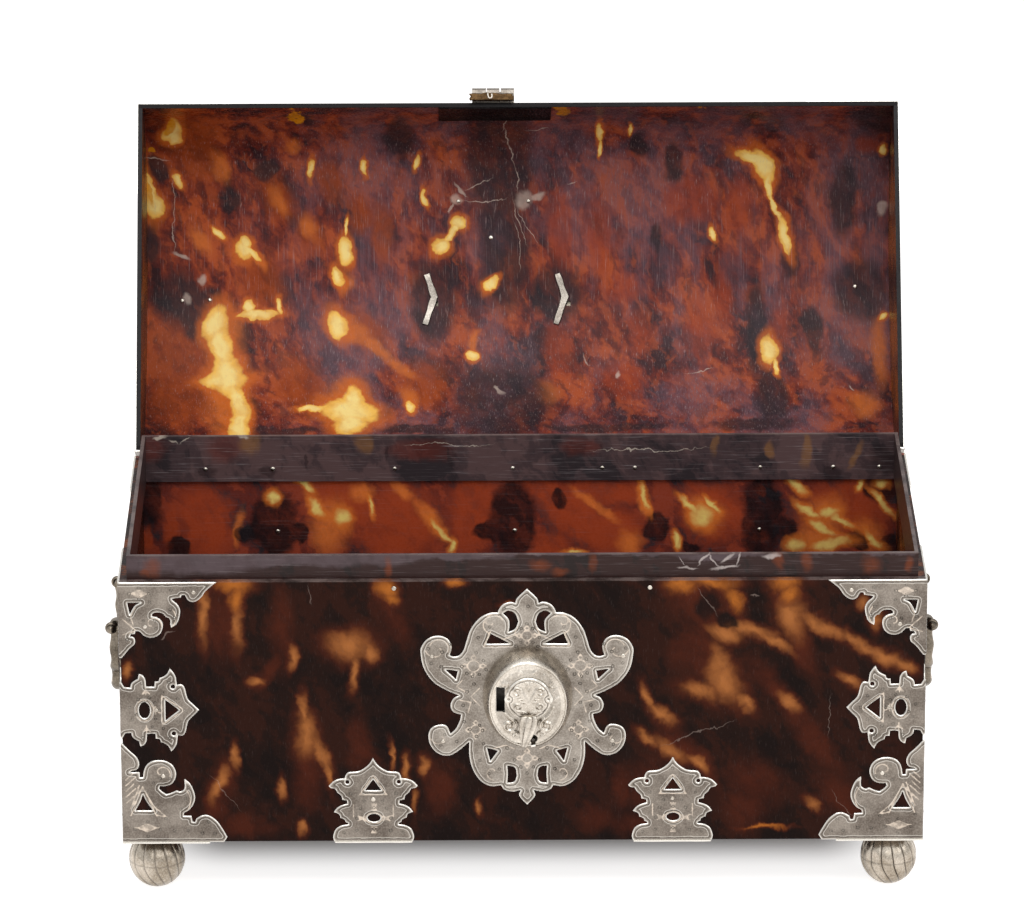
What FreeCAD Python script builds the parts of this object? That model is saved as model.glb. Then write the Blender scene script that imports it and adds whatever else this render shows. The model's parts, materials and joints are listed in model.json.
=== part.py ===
import FreeCAD, Part
import math
import os

os.makedirs("parts", exist_ok=True)

V = FreeCAD.Vector
ORIGIN = V(0, 0, 0)
AXIS_X = V(1, 0, 0)
AXIS_Y = V(0, 1, 0)
AXIS_Z = V(0, 0, 1)

# Box of shell plates, millimetres, X along the front, Y to the back, Z up
WIDTH = 280.0
DEPTH = 130.0
PANEL_HEIGHT = 97.6
SHELL = 2.5
LIP_HEIGHT = 17.6
LIP_RISE = 8.8
LIP_THICK = 1.3

# Barrel lid, its closed place over the rim and the angle it stands open at
LID_HEIGHT = 50.0
LID_WALL = 11.0
HAUNCH_RADIUS = 28.0
LIP_CLEARANCE = 0.9
LID_SHELL = SHELL - LIP_CLEARANCE
LID_GAP = 0.2
OPEN_ANGLE = 121.0

# Gadrooned ball feet
FOOT_RISE = 20.6
FOOT_RADIUS = 10.3
FOOT_INSET_X = 10.7
FOOT_INSET_Y = 11.2
FOOT_GADROONS = 14
FOOT_RINGS = 6

# Silver sheet and the mounts cut from it
SHEET = 0.7
TOP_MOUNT_LENGTH = 33.9
TOP_MOUNT_DROP = 28.0
LOW_MOUNT_LENGTH = 35.9
LOW_MOUNT_RISE = 36.9
LOW_FLANGE = 30.0
EDGE_MOUNT_HALF = 15.6
EDGE_MOUNT_LENGTH = 27.4
EDGE_MOUNT_DROP = 47.7
BASE_MOUNT_HALF = 15.3
BASE_MOUNT_RISE = 31.3
BASE_MOUNT_OFFSET = 52.5
BASE_TONGUE = 9.0
LEAF_HALF = 13.5
LEAF_LENGTH = 33.0

# Butt hinges along the back
HINGE_PLACE_shares = {"left": -0.3161, "middle": -0.0071, "right": 0.3125}
KNUCKLE_RADIUS = 1.6
HINGE_PIN_RADIUS = 0.8
PIN_CLEARANCE = 0.05
KNUCKLE_GAP = 0.25
PIN_PROUD = 0.6

# Lock plate, lock case and what is in it
LOCK_X = 1.7
LOCK_DROP = 42.8
ESCUTCHEON_HALF_WIDTH = 37.0
ESCUTCHEON_HALF_HEIGHT = 40.5
CASE_HALF_WIDTH = 15.7
CASE_HALF_HEIGHT = 18.0
CASE_DEPTH = 9.5
CASE_SIDES = 20
CASE_WALL = 0.9
SLOT_X = -7.8
SLOT_DROP = 40.6
SLOT_WIDTH = 3.0
SLOT_HEIGHT = 9.0
DISC_X = 2.0
DISC_DROP = 40.3
DISC_RADIUS = 7.0
DISC_THICK = 0.8
EAR_RADIUS = 1.2
EAR_HOLE = 0.45
KEY_X = 3.6
KEY_DROP = 56.7
KEYHOLE_RADIUS = 1.3
KEYHOLE_SLIT = 1.1
KEYHOLE_TAIL = 3.6
KEY_PIN_RADIUS = 0.6
LOCK_PLATE = 0.8
PLATE_CLEARANCE = 0.3
BOLT_LENGTH = 14.2
BOLT_HEIGHT = 5.0
BOLT_THICK = 2.0
BOLT_PLACE = 6.6
BOLT_THROW = 4.2
BOLT_CLEARANCE = 0.15
BOLT_REST_GAP = 0.6
GUIDE_LENGTH = 2.0
GUIDE_WALL = 1.0
TALON_WIDTH = 2.4
TALON_DEPTH = 1.6
SPRING_THICK = 0.4
SPRING_BOW = 1.2
SPRING_CHORDS = 4
COVER_X = 1.9
COVER_DROP = 46.4
COVER_PIN_RADIUS = 0.6
COVER_HEAD_RADIUS = 0.9
COVER_EYE_RADIUS = 1.6
COVER_EYE_THICK = 1.0
COVER_LENGTH = 11.2
COVER_RADIUS = 2.1
COVER_STAND = 1.3
COVER_SIDES = 8
COVER_TWIST = 22.0
COVER_NECK_share = 0.8

# Hasp on the lid's front rim
HASP_X = -9.2
HASP_HALF = 7.75
HASP_PLATE_HALF = 19.2
HASP_PLATE_REACH = 46.0
HASP_KNUCKLE = 2.4
HASP_PIN_RADIUS = 1.0
HASP_STAND = 0.3
HASP_AXIS_RISE = 1.2
HASP_THICK = 0.8
HASP_SHOULDER = 20.0
HASP_STEP = 27.0
HASP_TAIL = 47.4
HASP_TAIL_HALF = 5.6
HASP_FACE_GAP = 0.4
HASP_FOLD = 179.0
STAPLE_THICK = 2.2
STAPLE_HEIGHT = 6.4
STAPLE_DEPTH = 6.2
STAPLE_EYE = 3.2
STAPLE_EYE_PLACE = 3.9
STRIP_X = -8.5
STRIP_LENGTH = 41.7
STRIP_HEIGHT = 3.9
STRIP_THICK = 0.9
STRIP_RISE = 0.5

# Swinging bails on the ends and on the lid's crown
SIDE_BAIL_DROP = 33.2
SIDE_BAIL_HALF = 22.2
TOP_BAIL_HALF = 23.8
TOP_BAIL_X = -6.0
BAIL_LENGTH = 31.0
BAIL_THICK = 2.2
EYE_STAND = 5.4
EYE_RADIUS = 2.3
EYE_THICK = 1.6
EYE_CLEARANCE = 0.1
TRUNNION_RADIUS = 1.05
BALL_RADIUS = 1.5
BALL_SIDES = 8
BALL_RINGS = 4
LEG_WIDTH = 2.0
LEG_THICK = 0.7
LEG_LENGTH = 9.0
LEG_SPLAY = 18.0
ROSETTE_RADIUS = 8.0
ROSETTE_DEPTH = 3.6
ROSETTE_DROP = 2.5
ROSETTE_PETALS = 12

# Rivet heads
RIVET_RADIUS = 0.8
RIVET_DEPTH = 0.45
RIVET_SIDES = 6
OVERRUN = 4.0

# Degrees of arc to a chord, the chords round a piercing and the sides of a small round bar
ARC_STEP = 52.0
OVAL_SIDES = 8
BAR_SIDES = 12

# Angle up to which a ball without flats is carried to its poles, and the share of the sheet's
# thickness under which two points count as one
BALL_REACH = 75.0
SAME_POINT_share = 0.01

# Heights that follow from the sizes above
RIM = FOOT_RISE + PANEL_HEIGHT
HALF_WIDTH = WIDTH / 2
HALF_DEPTH = DEPTH / 2
CROWN = RIM + LID_HEIGHT
CASE_FACE = HALF_DEPTH + SHEET
LOCK_Z = RIM - LOCK_DROP
HINGE_Y = HALF_DEPTH + KNUCKLE_RADIUS
HASP_AXIS_Y = -(HALF_DEPTH + SHEET + HASP_STAND + HASP_KNUCKLE)
HASP_AXIS_Z = RIM + HASP_AXIS_RISE
FRONT_CORNER = V(-HALF_WIDTH, -HALF_DEPTH, 0)

# Outlines as shares of each mount's own length and height. Two numbers run straight to a point,
# four go round an arc through the first pair to the second.
TOP_MOUNT_shares = [
    (0, 0), (1.0, 0), (0.861, 0.19), (0.755, 0.264, 0.65, 0.165), (0.537, 0.22),
    (0.619, 0.394, 0.519, 0.599), (0.49, 0.465), (0.401, 0.384, 0.33, 0.445),
    (0.442, 0.585, 0.324, 0.732), (0.248, 0.718, 0.2, 0.655), (0.115, 0.66),
    (0.16, 0.76, 0.12, 0.86), (0, 1.0)]
TOP_PIERCING_shares = [(0.083, 0.271), (0.218, 0.264), (0.142, 0.327, 0.106, 0.426)]
LOW_MOUNT_shares = [
    (0, 0), (0.98, 0), (1.0, 0.043), (0.953, 0.16, 0.875, 0.246), (0.78, 0.278, 0.66, 0.21),
    (0.582, 0.28), (0.694, 0.471, 0.596, 0.644), (0.566, 0.53), (0.423, 0.492, 0.36, 0.57),
    (0.513, 0.701, 0.351, 0.84), (0.245, 0.802, 0.19, 0.675), (0.075, 0.725),
    (0.159, 0.791, 0.139, 0.861), (0, 1.0)]
LOW_PIERCING_shares = [(0.187, 0.505), (0.156, 0.406, 0.109, 0.324), (0.29, 0.326), (0.187, 0.505)]
LOW_FLANGE_shares = [(0, 0), (1.0, 0), (0.55, 0.55, 0, 1.0)]
TONGUE_shares = [
    (0, 0), (0.69, 0), (0.56, 0.08), (0.71, 0.19), (0.886, 0.23), (0.785, 0.291, 0.57, 0.31),
    (0.557, 0.42), (0.703, 0.43), (0.8, 0.54), (1.0, 0.595), (0.848, 0.672, 0.6, 0.7),
    (0.6, 0.79), (0.253, 0.854, 0, 1.0)]
TONGUE_OVAL_shares = (0.285, 0.19, 0.077)
TONGUE_TRIANGLE_shares = [(0.24, 0.551), (0, 0.73)]
BASE_MOUNT_shares = [
    (0, 0), (0.882, 0), (0.889, 0.032), (0.81, 0.151, 0.575, 0.2), (0.66, 0.26), (0.902, 0.338),
    (0.771, 0.404, 0.588, 0.432), (0.608, 0.476), (0.72, 0.5), (0.804, 0.56), (1.0, 0.64),
    (0.876, 0.719, 0.634, 0.738), (0.59, 0.81), (0.209, 0.871, 0, 1.0)]
BASE_OVAL_shares = (0.284, 0.15, 0.047)
BASE_TRIANGLE_shares = [(0.19, 0.618), (0, 0.754)]
ESCUTCHEON_shares = [
    (0, 1.0), (0.097, 0.9), (0.081, 0.868), (0.19, 0.886, 0.27, 0.79), (0.454, 0.746, 0.557, 0.546),
    (0.605, 0.4, 0.738, 0.395), (0.708, 0.502, 0.838, 0.576), (0.962, 0.527, 1.0, 0.405),
    (0.919, 0.185, 0.746, 0.078), (0.61, 0.015), (0.724, -0.073, 0.612, -0.17),
    (0.638, -0.254, 0.724, -0.327), (0.735, -0.268, 0.827, -0.251),
    (0.951, -0.371, 0.838, -0.527), (0.686, -0.502, 0.546, -0.395),
    (0.524, -0.639, 0.341, -0.824), (0.235, -0.815), (0.162, -0.883, 0.07, -0.868),
    (0.076, -0.92), (0, -1.0)]
ESCUTCHEON_PIERCINGS_shares = [
    [(0.222, 0.776), (0.092, 0.746, 0.168, 0.605), (0.151, 0.702, 0.222, 0.776)],
    [(0.351, 0.595), (0.389, 0.498), (0.168, 0.5), (0.281, 0.527, 0.351, 0.595)],
    [(0.649, 0.244), (0.77, 0.256), (0.673, 0.173)],
    [(0.278, -0.49), (0.381, -0.468), (0.357, -0.593)],
    [(0.186, -0.637), (0.103, -0.717, 0.189, -0.793), (0.173, -0.715, 0.186, -0.637)]]
CASE_TIER_shares = [(1.0, 0), (1.0, 0.1), (0.955, 0.15), (0.925, 0.5), (0.875, 0.82), (0.79, 1.0)]
CAVITY_TIER_shares = [(1.0, 0), (0.97, 0.5), (0.88, 1.0)]
HASP_PLATE_shares = [
    (0, -0.1), (0.404, -0.1), (0.404, 0.38), (0.52, 0.44), (0.76, 0.42, 1.0, 0.56),
    (0.82, 0.7, 0.56, 0.68), (0.36, 0.71), (0.33, 0.88, 0, 1.0)]
BAIL_OUTER_shares = [
    (0.84, 0.08), (0.985, 0.08), (0.985, -0.1), (1.07, -0.3, 0.9, -0.55), (0.72, -0.66),
    (0.66, -0.93, 0.36, -0.88), (0.13, -0.9), (0, -1.0)]
BAIL_INNER_shares = [(0.84, 0.08), (0.84, -0.1), (0.88, -0.34, 0.6, -0.55), (0.34, -0.79, 0, -0.76)]
COVER_RING_shares = [(0.3, 0), (0.72, -0.12), (1.0, -0.42), (0.86, -0.7), (0.5, -0.9), (0.3, -1.0)]
ROSETTE_RING_shares = [(1.0, 0), (1.0, 0.16), (0.72, 0.5), (0.44, 0.6), (0.36, 0.86), (0.16, 1.0)]

# Rivet places
TOP_RIVET_shares = [(0.76, 0.135), (0.257, 0.588)]
LOW_RIVET_shares = [(0.39, 0.68)]
EDGE_RIVET_share = 0.44
BASE_RIVET_share = 0.51
LEAF_RIVET_share = 0.82
ESCUTCHEON_RIVET_shares = [(0.9, 0.366), (0.8, -0.42)]
HASP_RIVET_shares = [(-0.68, 0.6), (0.68, 0.6), (-0.05, 0.88)]
BACK_LIP_RIVET_shares = [-0.818, -0.643, -0.326, -0.019, 0.214, 0.299, 0.625, 0.815, 0.935]
FRONT_LIP_RIVET_shares = [-0.319, 0.316]
LIP_RIVET_DROP = 4.0
FRONT_RIVET_DROP = 2.8


def path_points(shares, width, height):
    """Points along an outline, with each arc as chords of nearly ARC_STEP each."""
    points = [V(shares[0][0] * width, shares[0][1] * height, 0)]
    for entry in shares[1:]:
        point = V(entry[-2] * width, entry[-1] * height, 0)
        if len(entry) == 4:
            through = V(entry[0] * width, entry[1] * height, 0)
            arc = Part.Arc(points[-1], through, point)
            sweep = math.degrees(arc.LastParameter - arc.FirstParameter)
            points += arc.toShape().discretize(max(1, round(sweep / ARC_STEP)) + 1)[1:-1]
        points.append(point)
    return points


def closed_wire(points):
    """A closed outline through points, which may already come back to the first."""
    if points[0].isEqual(points[-1], SHEET * SAME_POINT_share):
        points = points[:-1]
    return Part.makePolygon(points + points[:1])


def mirrored_wire(shares, width, height):
    """A closed outline from one half of it, the other half mirrored over the Y axis."""
    half = path_points(shares, width, height)
    others = [V(-point.x, point.y, 0) for point in reversed(half) if point.x > SHEET * SAME_POINT_share]
    return closed_wire(half + others)


def oval_wire(centre, half_across, half_along):
    """A piercing of a few chords round an ellipse."""
    angles = [2 * math.pi * side / OVAL_SIDES for side in range(OVAL_SIDES)]
    points = [centre + V(half_across * math.cos(a), half_along * math.sin(a), 0) for a in angles]
    return closed_wire(points)


def sheet_metal(outer, piercings, thickness):
    """Sheet cut to an outline, with its piercings, from z = 0 up."""
    face = Part.makeFace([outer] + piercings, "Part::FaceMakerBullseye")
    return face.extrude(V(0, 0, thickness))


def faceted(rings, sides, twist=0, stretch=1):
    """A closed body of flat facets through level rings of (radius, height), drawn out along Y."""
    levels = []
    for index, (radius, height) in enumerate(rings):
        turn = math.radians(twist * index)
        angles = [turn + 2 * math.pi * side / sides for side in range(sides)]
        levels.append([V(radius * math.cos(a), stretch * radius * math.sin(a), height)
                       for a in angles])
    faces = [Part.Face(Part.makePolygon(levels[0] + levels[0][:1]))]
    faces.append(Part.Face(Part.makePolygon(levels[-1] + levels[-1][:1])))
    for low, high in zip(levels, levels[1:]):
        for side in range(sides):
            following = (side + 1) % sides
            corners = [low[side], low[following], high[following], high[side]]
            if twist:
                faces.append(Part.Face(Part.makePolygon(corners[:3] + corners[:1])))
                faces.append(Part.Face(Part.makePolygon(corners[2:] + corners[:1] + corners[2:3])))
            else:
                faces.append(Part.Face(Part.makePolygon(corners + corners[:1])))
    body = Part.Solid(Part.Shell(faces))
    if body.Volume < 0:
        body.reverse()
    return body


def ball(radius, sides, ring_count, flat=0):
    """A ball of flat gores on the Z axis, cut level where it is flat at its two poles."""
    reach = math.asin((radius - flat) / radius) if flat else math.radians(BALL_REACH)
    steps = [reach * (2 * ring / (ring_count - 1) - 1) for ring in range(ring_count)]
    return faceted([(radius * math.cos(a), radius * math.sin(a)) for a in steps], sides)


def bar(radius, length, place, way):
    """A small round bar or bore, with a few flat sides, from a place along a direction."""
    shape = faceted([(radius, 0), (radius, length)], BAR_SIDES)
    shape.Placement = FreeCAD.Placement(place, FreeCAD.Rotation(AXIS_Z, way))
    return shape


def block(low, high):
    """A box between two corners."""
    return Part.makeBox(high.x - low.x, high.y - low.y, high.z - low.z, low)


def placed(shape, place, x_way, y_way, z_way):
    """A copy with its own axes turned to three directions and its origin moved to a place."""
    copy = shape.copy()
    turn = FreeCAD.Placement(place, FreeCAD.Rotation(x_way, y_way, z_way, "ZXY"))
    copy.Placement = turn.multiply(copy.Placement)
    return copy


def on_front(shape, x, z):
    """Sheet work that lies in the XY plane, stood on the front of the box."""
    return placed(shape, V(x, -HALF_DEPTH, z), AXIS_X, AXIS_Z, -AXIS_Y)


def on_back(shape, x, z):
    """Sheet work that lies in the XY plane, stood on the back of the box."""
    return placed(shape, V(x, HALF_DEPTH, z), -AXIS_X, AXIS_Z, AXIS_Y)


def joined(shapes):
    """Several solids made one."""
    return shapes[0].fuse(shapes[1:]).removeSplitter()


def mirror_x(shape):
    return shape.mirror(ORIGIN, AXIS_X)


def mirror_y(shape):
    return shape.mirror(ORIGIN, AXIS_Y)


def four_corners(shape):
    """The piece of the front left corner, at all four corners."""
    right = mirror_x(shape)
    return {
        "front_left": shape, "front_right": right,
        "back_left": mirror_y(shape), "back_right": mirror_y(right)}


def opened(shape):
    """A piece of the closed lid, turned about the hinge line to where the lid stands open."""
    copy = shape.copy()
    copy.rotate(V(0, HINGE_Y, RIM), AXIS_X, -OPEN_ANGLE)
    return copy


# Shell box

def shell_panels():
    """Front and back run the full width, the ends and the bottom fit between them."""
    inner_x = HALF_WIDTH - SHELL
    inner_y = HALF_DEPTH - SHELL
    front = block(V(-HALF_WIDTH, -HALF_DEPTH, FOOT_RISE), V(HALF_WIDTH, -inner_y, RIM))
    left = block(V(-HALF_WIDTH, -inner_y, FOOT_RISE), V(-inner_x, inner_y, RIM))
    bottom = block(V(-inner_x, -inner_y, FOOT_RISE), V(inner_x, inner_y, FOOT_RISE + SHELL))
    holes = [side_eye_shank(sign) for sign in (-1, 1)]
    left = left.cut(holes)
    return {
        "front_panel": front, "back_panel": mirror_y(front), "left_panel": left,
        "right_panel": mirror_x(left), "bottom_panel": bottom}


def lip_strips():
    """Strips inside the rim that stand up into the closed lid."""
    outer_x = HALF_WIDTH - SHELL
    outer_y = HALF_DEPTH - SHELL
    top = RIM + LIP_RISE
    low = top - LIP_HEIGHT
    front = block(V(-outer_x, -outer_y, low), V(outer_x, -outer_y + LIP_THICK, top))
    end_y = outer_y - LIP_THICK
    left = block(V(-outer_x, -end_y, low), V(-outer_x + LIP_THICK, end_y, top))
    return {
        "front_lip": front, "back_lip": mirror_y(front), "left_lip": left,
        "right_lip": mirror_x(left)}


def feet():
    """Ball feet, flat where they stand and where they meet the flange above."""
    height = FOOT_RISE - SHEET
    foot = ball(FOOT_RADIUS, FOOT_GADROONS, FOOT_RINGS, FOOT_RADIUS - height / 2)
    foot.translate(V(-HALF_WIDTH + FOOT_INSET_X, -HALF_DEPTH + FOOT_INSET_Y, height / 2))
    return {corner + "_foot": shape for corner, shape in four_corners(foot).items()}


# Mounts of pierced sheet on the box

def two_wings(wing, low, high):
    """A mount bent round the front left arris: a wing, its mirror image and the bend between."""
    side = wing.mirror(FRONT_CORNER, V(1, -1, 0))
    bend = block(FRONT_CORNER + V(-SHEET, -SHEET, low), FRONT_CORNER + V(0, 0, high))
    return [wing, side, bend]


def top_corner_wing(thickness):
    outer = closed_wire(path_points(TOP_MOUNT_shares, TOP_MOUNT_LENGTH, -TOP_MOUNT_DROP))
    hole = closed_wire(path_points(TOP_PIERCING_shares, TOP_MOUNT_LENGTH, -TOP_MOUNT_DROP))
    return sheet_metal(outer, [hole], thickness)


def top_corner_mount():
    wing = on_front(top_corner_wing(SHEET), -HALF_WIDTH, RIM)
    return joined(two_wings(wing, RIM - TOP_MOUNT_DROP, RIM))


def low_corner_mount():
    """Two wings and the flange that carries the foot."""
    outer = closed_wire(path_points(LOW_MOUNT_shares, LOW_MOUNT_LENGTH, LOW_MOUNT_RISE))
    hole = closed_wire(path_points(LOW_PIERCING_shares, LOW_MOUNT_LENGTH, LOW_MOUNT_RISE))
    wing = on_front(sheet_metal(outer, [hole], SHEET), -HALF_WIDTH, FOOT_RISE)
    pieces = two_wings(wing, FOOT_RISE - SHEET, FOOT_RISE + LOW_MOUNT_RISE)
    flange = closed_wire(path_points(LOW_FLANGE_shares, LOW_FLANGE, LOW_FLANGE))
    flange = sheet_metal(flange, [], SHEET)
    flange.translate(FRONT_CORNER + V(0, 0, FOOT_RISE - SHEET))
    hem = LOW_MOUNT_LENGTH * LOW_MOUNT_shares[1][0]
    low = FRONT_CORNER + V(0, -SHEET, FOOT_RISE - SHEET)
    front_hem = block(low, low + V(hem, SHEET, SHEET))
    side_hem = front_hem.mirror(FRONT_CORNER, V(1, -1, 0))
    return joined(pieces + [flange, front_hem, side_hem])


def tongue_sheet(shares, oval, triangle, half, length, thickness):
    """A barbed tongue with its triangle and, where there is one, its oval, the tip along +Y."""
    piercings = [mirrored_wire(triangle, half, length)]
    if oval:
        place, across, along = oval
        piercings.append(oval_wire(V(0, place * length, 0), across * half, along * length))
    return sheet_metal(mirrored_wire(shares, half, length), piercings, thickness)


def edge_sheet(half, length, thickness, oval=TONGUE_OVAL_shares):
    """The tongue of the edge mounts and of the hinge leaves."""
    return tongue_sheet(TONGUE_shares, oval, TONGUE_TRIANGLE_shares, half, length, thickness)


def edge_mount():
    tongue = edge_sheet(EDGE_MOUNT_HALF, EDGE_MOUNT_LENGTH, SHEET)
    tongue.rotate(ORIGIN, AXIS_Z, -90)
    middle = RIM - EDGE_MOUNT_DROP
    reach = EDGE_MOUNT_HALF * TONGUE_shares[1][0]
    wing = on_front(tongue, -HALF_WIDTH, middle)
    return joined(two_wings(wing, middle - reach, middle + reach))


def base_mount():
    """Tongue on the front near the bottom edge, turned under the box."""
    tongue = tongue_sheet(BASE_MOUNT_shares, BASE_OVAL_shares, BASE_TRIANGLE_shares, BASE_MOUNT_HALF,
                          BASE_MOUNT_RISE, SHEET)
    wing = on_front(tongue, -BASE_MOUNT_OFFSET, FOOT_RISE)
    half = BASE_MOUNT_HALF * BASE_MOUNT_shares[1][0]
    under = block(V(-BASE_MOUNT_OFFSET - half, -HALF_DEPTH - SHEET, FOOT_RISE - SHEET),
                  V(-BASE_MOUNT_OFFSET + half, -HALF_DEPTH + BASE_TONGUE, FOOT_RISE))
    return joined([wing, under])


def box_mounts():
    nodes = {}
    for corner, shape in four_corners(top_corner_mount()).items():
        nodes[corner + "_top_mount"] = shape
    for corner, shape in four_corners(low_corner_mount()).items():
        nodes[corner + "_low_mount"] = shape
    for corner, shape in four_corners(edge_mount()).items():
        nodes[corner + "_edge_mount"] = shape
    nodes["left_base_mount"] = base_mount()
    nodes["right_base_mount"] = mirror_x(nodes["left_base_mount"])
    return nodes


# Lid

def crown_radius():
    """Outer radius of the lid's middle arc, which runs smoothly into its two haunches."""
    rise = LID_HEIGHT - LID_WALL
    span = HALF_DEPTH
    return (span ** 2 + rise ** 2 - 2 * span * HAUNCH_RADIUS) / (2 * (rise - HAUNCH_RADIUS))


def dome_ring(inset):
    """Edges of the lid's section in the YZ plane, from the front rim over the crown to the back."""
    low = RIM + LID_GAP
    half = HALF_DEPTH - inset
    radius = crown_radius()
    haunch_y = HALF_DEPTH - HAUNCH_RADIUS
    haunch_z = RIM + LID_WALL
    crown_z = CROWN - radius
    lean = math.atan2(haunch_z - crown_z, haunch_y)
    small = HAUNCH_RADIUS - inset

    def on_haunch(side, angle):
        return V(0, side * (haunch_y + small * math.cos(angle)), haunch_z + small * math.sin(angle))

    points = {side: [on_haunch(side, angle) for angle in (0, lean / 2, lean)] for side in (-1, 1)}
    front = points[-1]
    back = points[1]
    edges = [Part.makeLine(V(0, -half, low), front[0])]
    edges.append(Part.Arc(*front).toShape())
    edges.append(Part.Arc(front[2], V(0, 0, CROWN - inset), back[2]).toShape())
    edges.append(Part.Arc(back[2], back[1], back[0]).toShape())
    edges.append(Part.makeLine(back[0], V(0, half, low)))
    return edges


def dome_layer(outer_inset, inner_inset, x_low, x_high):
    """A curved layer of the lid between two insets from its outside."""
    outer = dome_ring(outer_inset)
    inner = dome_ring(inner_inset)
    feet_edges = []
    for index, end in ((0, 0), (-1, -1)):
        feet_edges.append(Part.makeLine(outer[index].Vertexes[end].Point,
                                        inner[index].Vertexes[end].Point))
    wire = Part.Wire(Part.__sortEdges__(outer + inner + feet_edges))
    layer = Part.Face(wire).extrude(V(x_high - x_low, 0, 0))
    layer.translate(V(x_low, 0, 0))
    return layer


def dome_end(inset, x_low, x_high):
    """A flat D-shaped plate that fills the lid's section inside an inset."""
    edges = dome_ring(inset)
    edges.append(Part.makeLine(edges[0].Vertexes[0].Point, edges[-1].Vertexes[-1].Point))
    wire = Part.Wire(Part.__sortEdges__(edges))
    plate = Part.Face(wire).extrude(V(x_high - x_low, 0, 0))
    plate.translate(V(x_low, 0, 0))
    return plate


def lid_shell():
    dome = dome_layer(0, LID_SHELL, -HALF_WIDTH, HALF_WIDTH)
    strip = backing_strip()
    dome = dome.cut([strip] + [top_eye_shank(side) for side in (-1, 1)])
    left = dome_end(LID_SHELL, -HALF_WIDTH, -HALF_WIDTH + LID_SHELL)
    return {
        "lid_dome": dome, "lid_left_end": left, "lid_right_end": mirror_x(left),
        "hasp_backing_strip": strip}


def backing_strip():
    """Strip let into the lid's front wall at the rim, behind the hasp."""
    inner = HALF_DEPTH - LID_SHELL
    low = RIM + LID_GAP + STRIP_RISE
    return block(V(STRIP_X - STRIP_LENGTH / 2, -inner - STRIP_THICK, low),
                 V(STRIP_X + STRIP_LENGTH / 2, -inner, low + STRIP_HEIGHT))


def silver_skin():
    """The layer just outside the lid that its curved mounts are cut from."""
    return dome_layer(-SHEET, 0, -HALF_WIDTH - SHEET, HALF_WIDTH + SHEET)


def wrapped(prism):
    """What a thick cut-out leaves of the layer over the lid."""
    return prism.common(silver_skin())


def lid_corner_mount():
    """The top corner outline again, upright on the lid's front corner and round its end."""
    low = RIM + LID_GAP
    wing = top_corner_wing(HALF_DEPTH)
    wing.rotate(ORIGIN, AXIS_X, 180)
    wing.translate(V(0, 0, HALF_DEPTH))
    wing = placed(wing, V(-HALF_WIDTH, 0, low), AXIS_X, AXIS_Z, -AXIS_Y)
    wing.translate(V(0, -SHEET, 0))
    bend = block(V(-HALF_WIDTH - SHEET, -HALF_DEPTH - SHEET, low),
                 V(-HALF_WIDTH, -HAUNCH_RADIUS, low + TOP_MOUNT_DROP))
    side = wing.mirror(V(-HALF_WIDTH, -HALF_DEPTH, 0), V(1, -1, 0))
    end = dome_end(-SHEET, -HALF_WIDTH - SHEET, -HALF_WIDTH).common(side)
    return joined([wrapped(wing), wrapped(bend), end])


def lid_crown_mount():
    """An edge mount over the crown's end and down the flat end."""
    tongue = edge_sheet(EDGE_MOUNT_HALF, EDGE_MOUNT_LENGTH, LID_HEIGHT, None)
    tongue.rotate(ORIGIN, AXIS_Z, -90)
    over = tongue.copy()
    over.translate(V(-HALF_WIDTH, 0, CROWN + SHEET - LID_HEIGHT))
    over = wrapped(over)
    down = placed(edge_sheet(EDGE_MOUNT_HALF, EDGE_MOUNT_LENGTH, SHEET),
                  V(-HALF_WIDTH, 0, CROWN + SHEET), AXIS_Y, -AXIS_Z, -AXIS_X)
    end = down.common(dome_end(-SHEET, -HALF_WIDTH - SHEET, -HALF_WIDTH))
    return joined([over, end])


def lid_mounts():
    corners = four_corners(lid_corner_mount())
    crown = lid_crown_mount()
    return {
        "lid_front_mounts": Part.makeCompound([corners["front_left"], corners["front_right"]]),
        "lid_back_mounts": Part.makeCompound([corners["back_left"], corners["back_right"]]),
        "lid_crown_mounts": Part.makeCompound([crown, mirror_x(crown)])}


# Hinges

def knuckle(radius, bore, x_low, x_high, y, z):
    """A tube along X."""
    length = x_high - x_low
    outer = bar(radius, length, V(x_low, y, z), AXIS_X)
    return outer.cut(bar(bore, length, V(x_low, y, z), AXIS_X))


def hinge_places():
    """Middles of the hinges along the width."""
    return [share * WIDTH for share in HINGE_PLACE_shares.values()]


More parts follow.
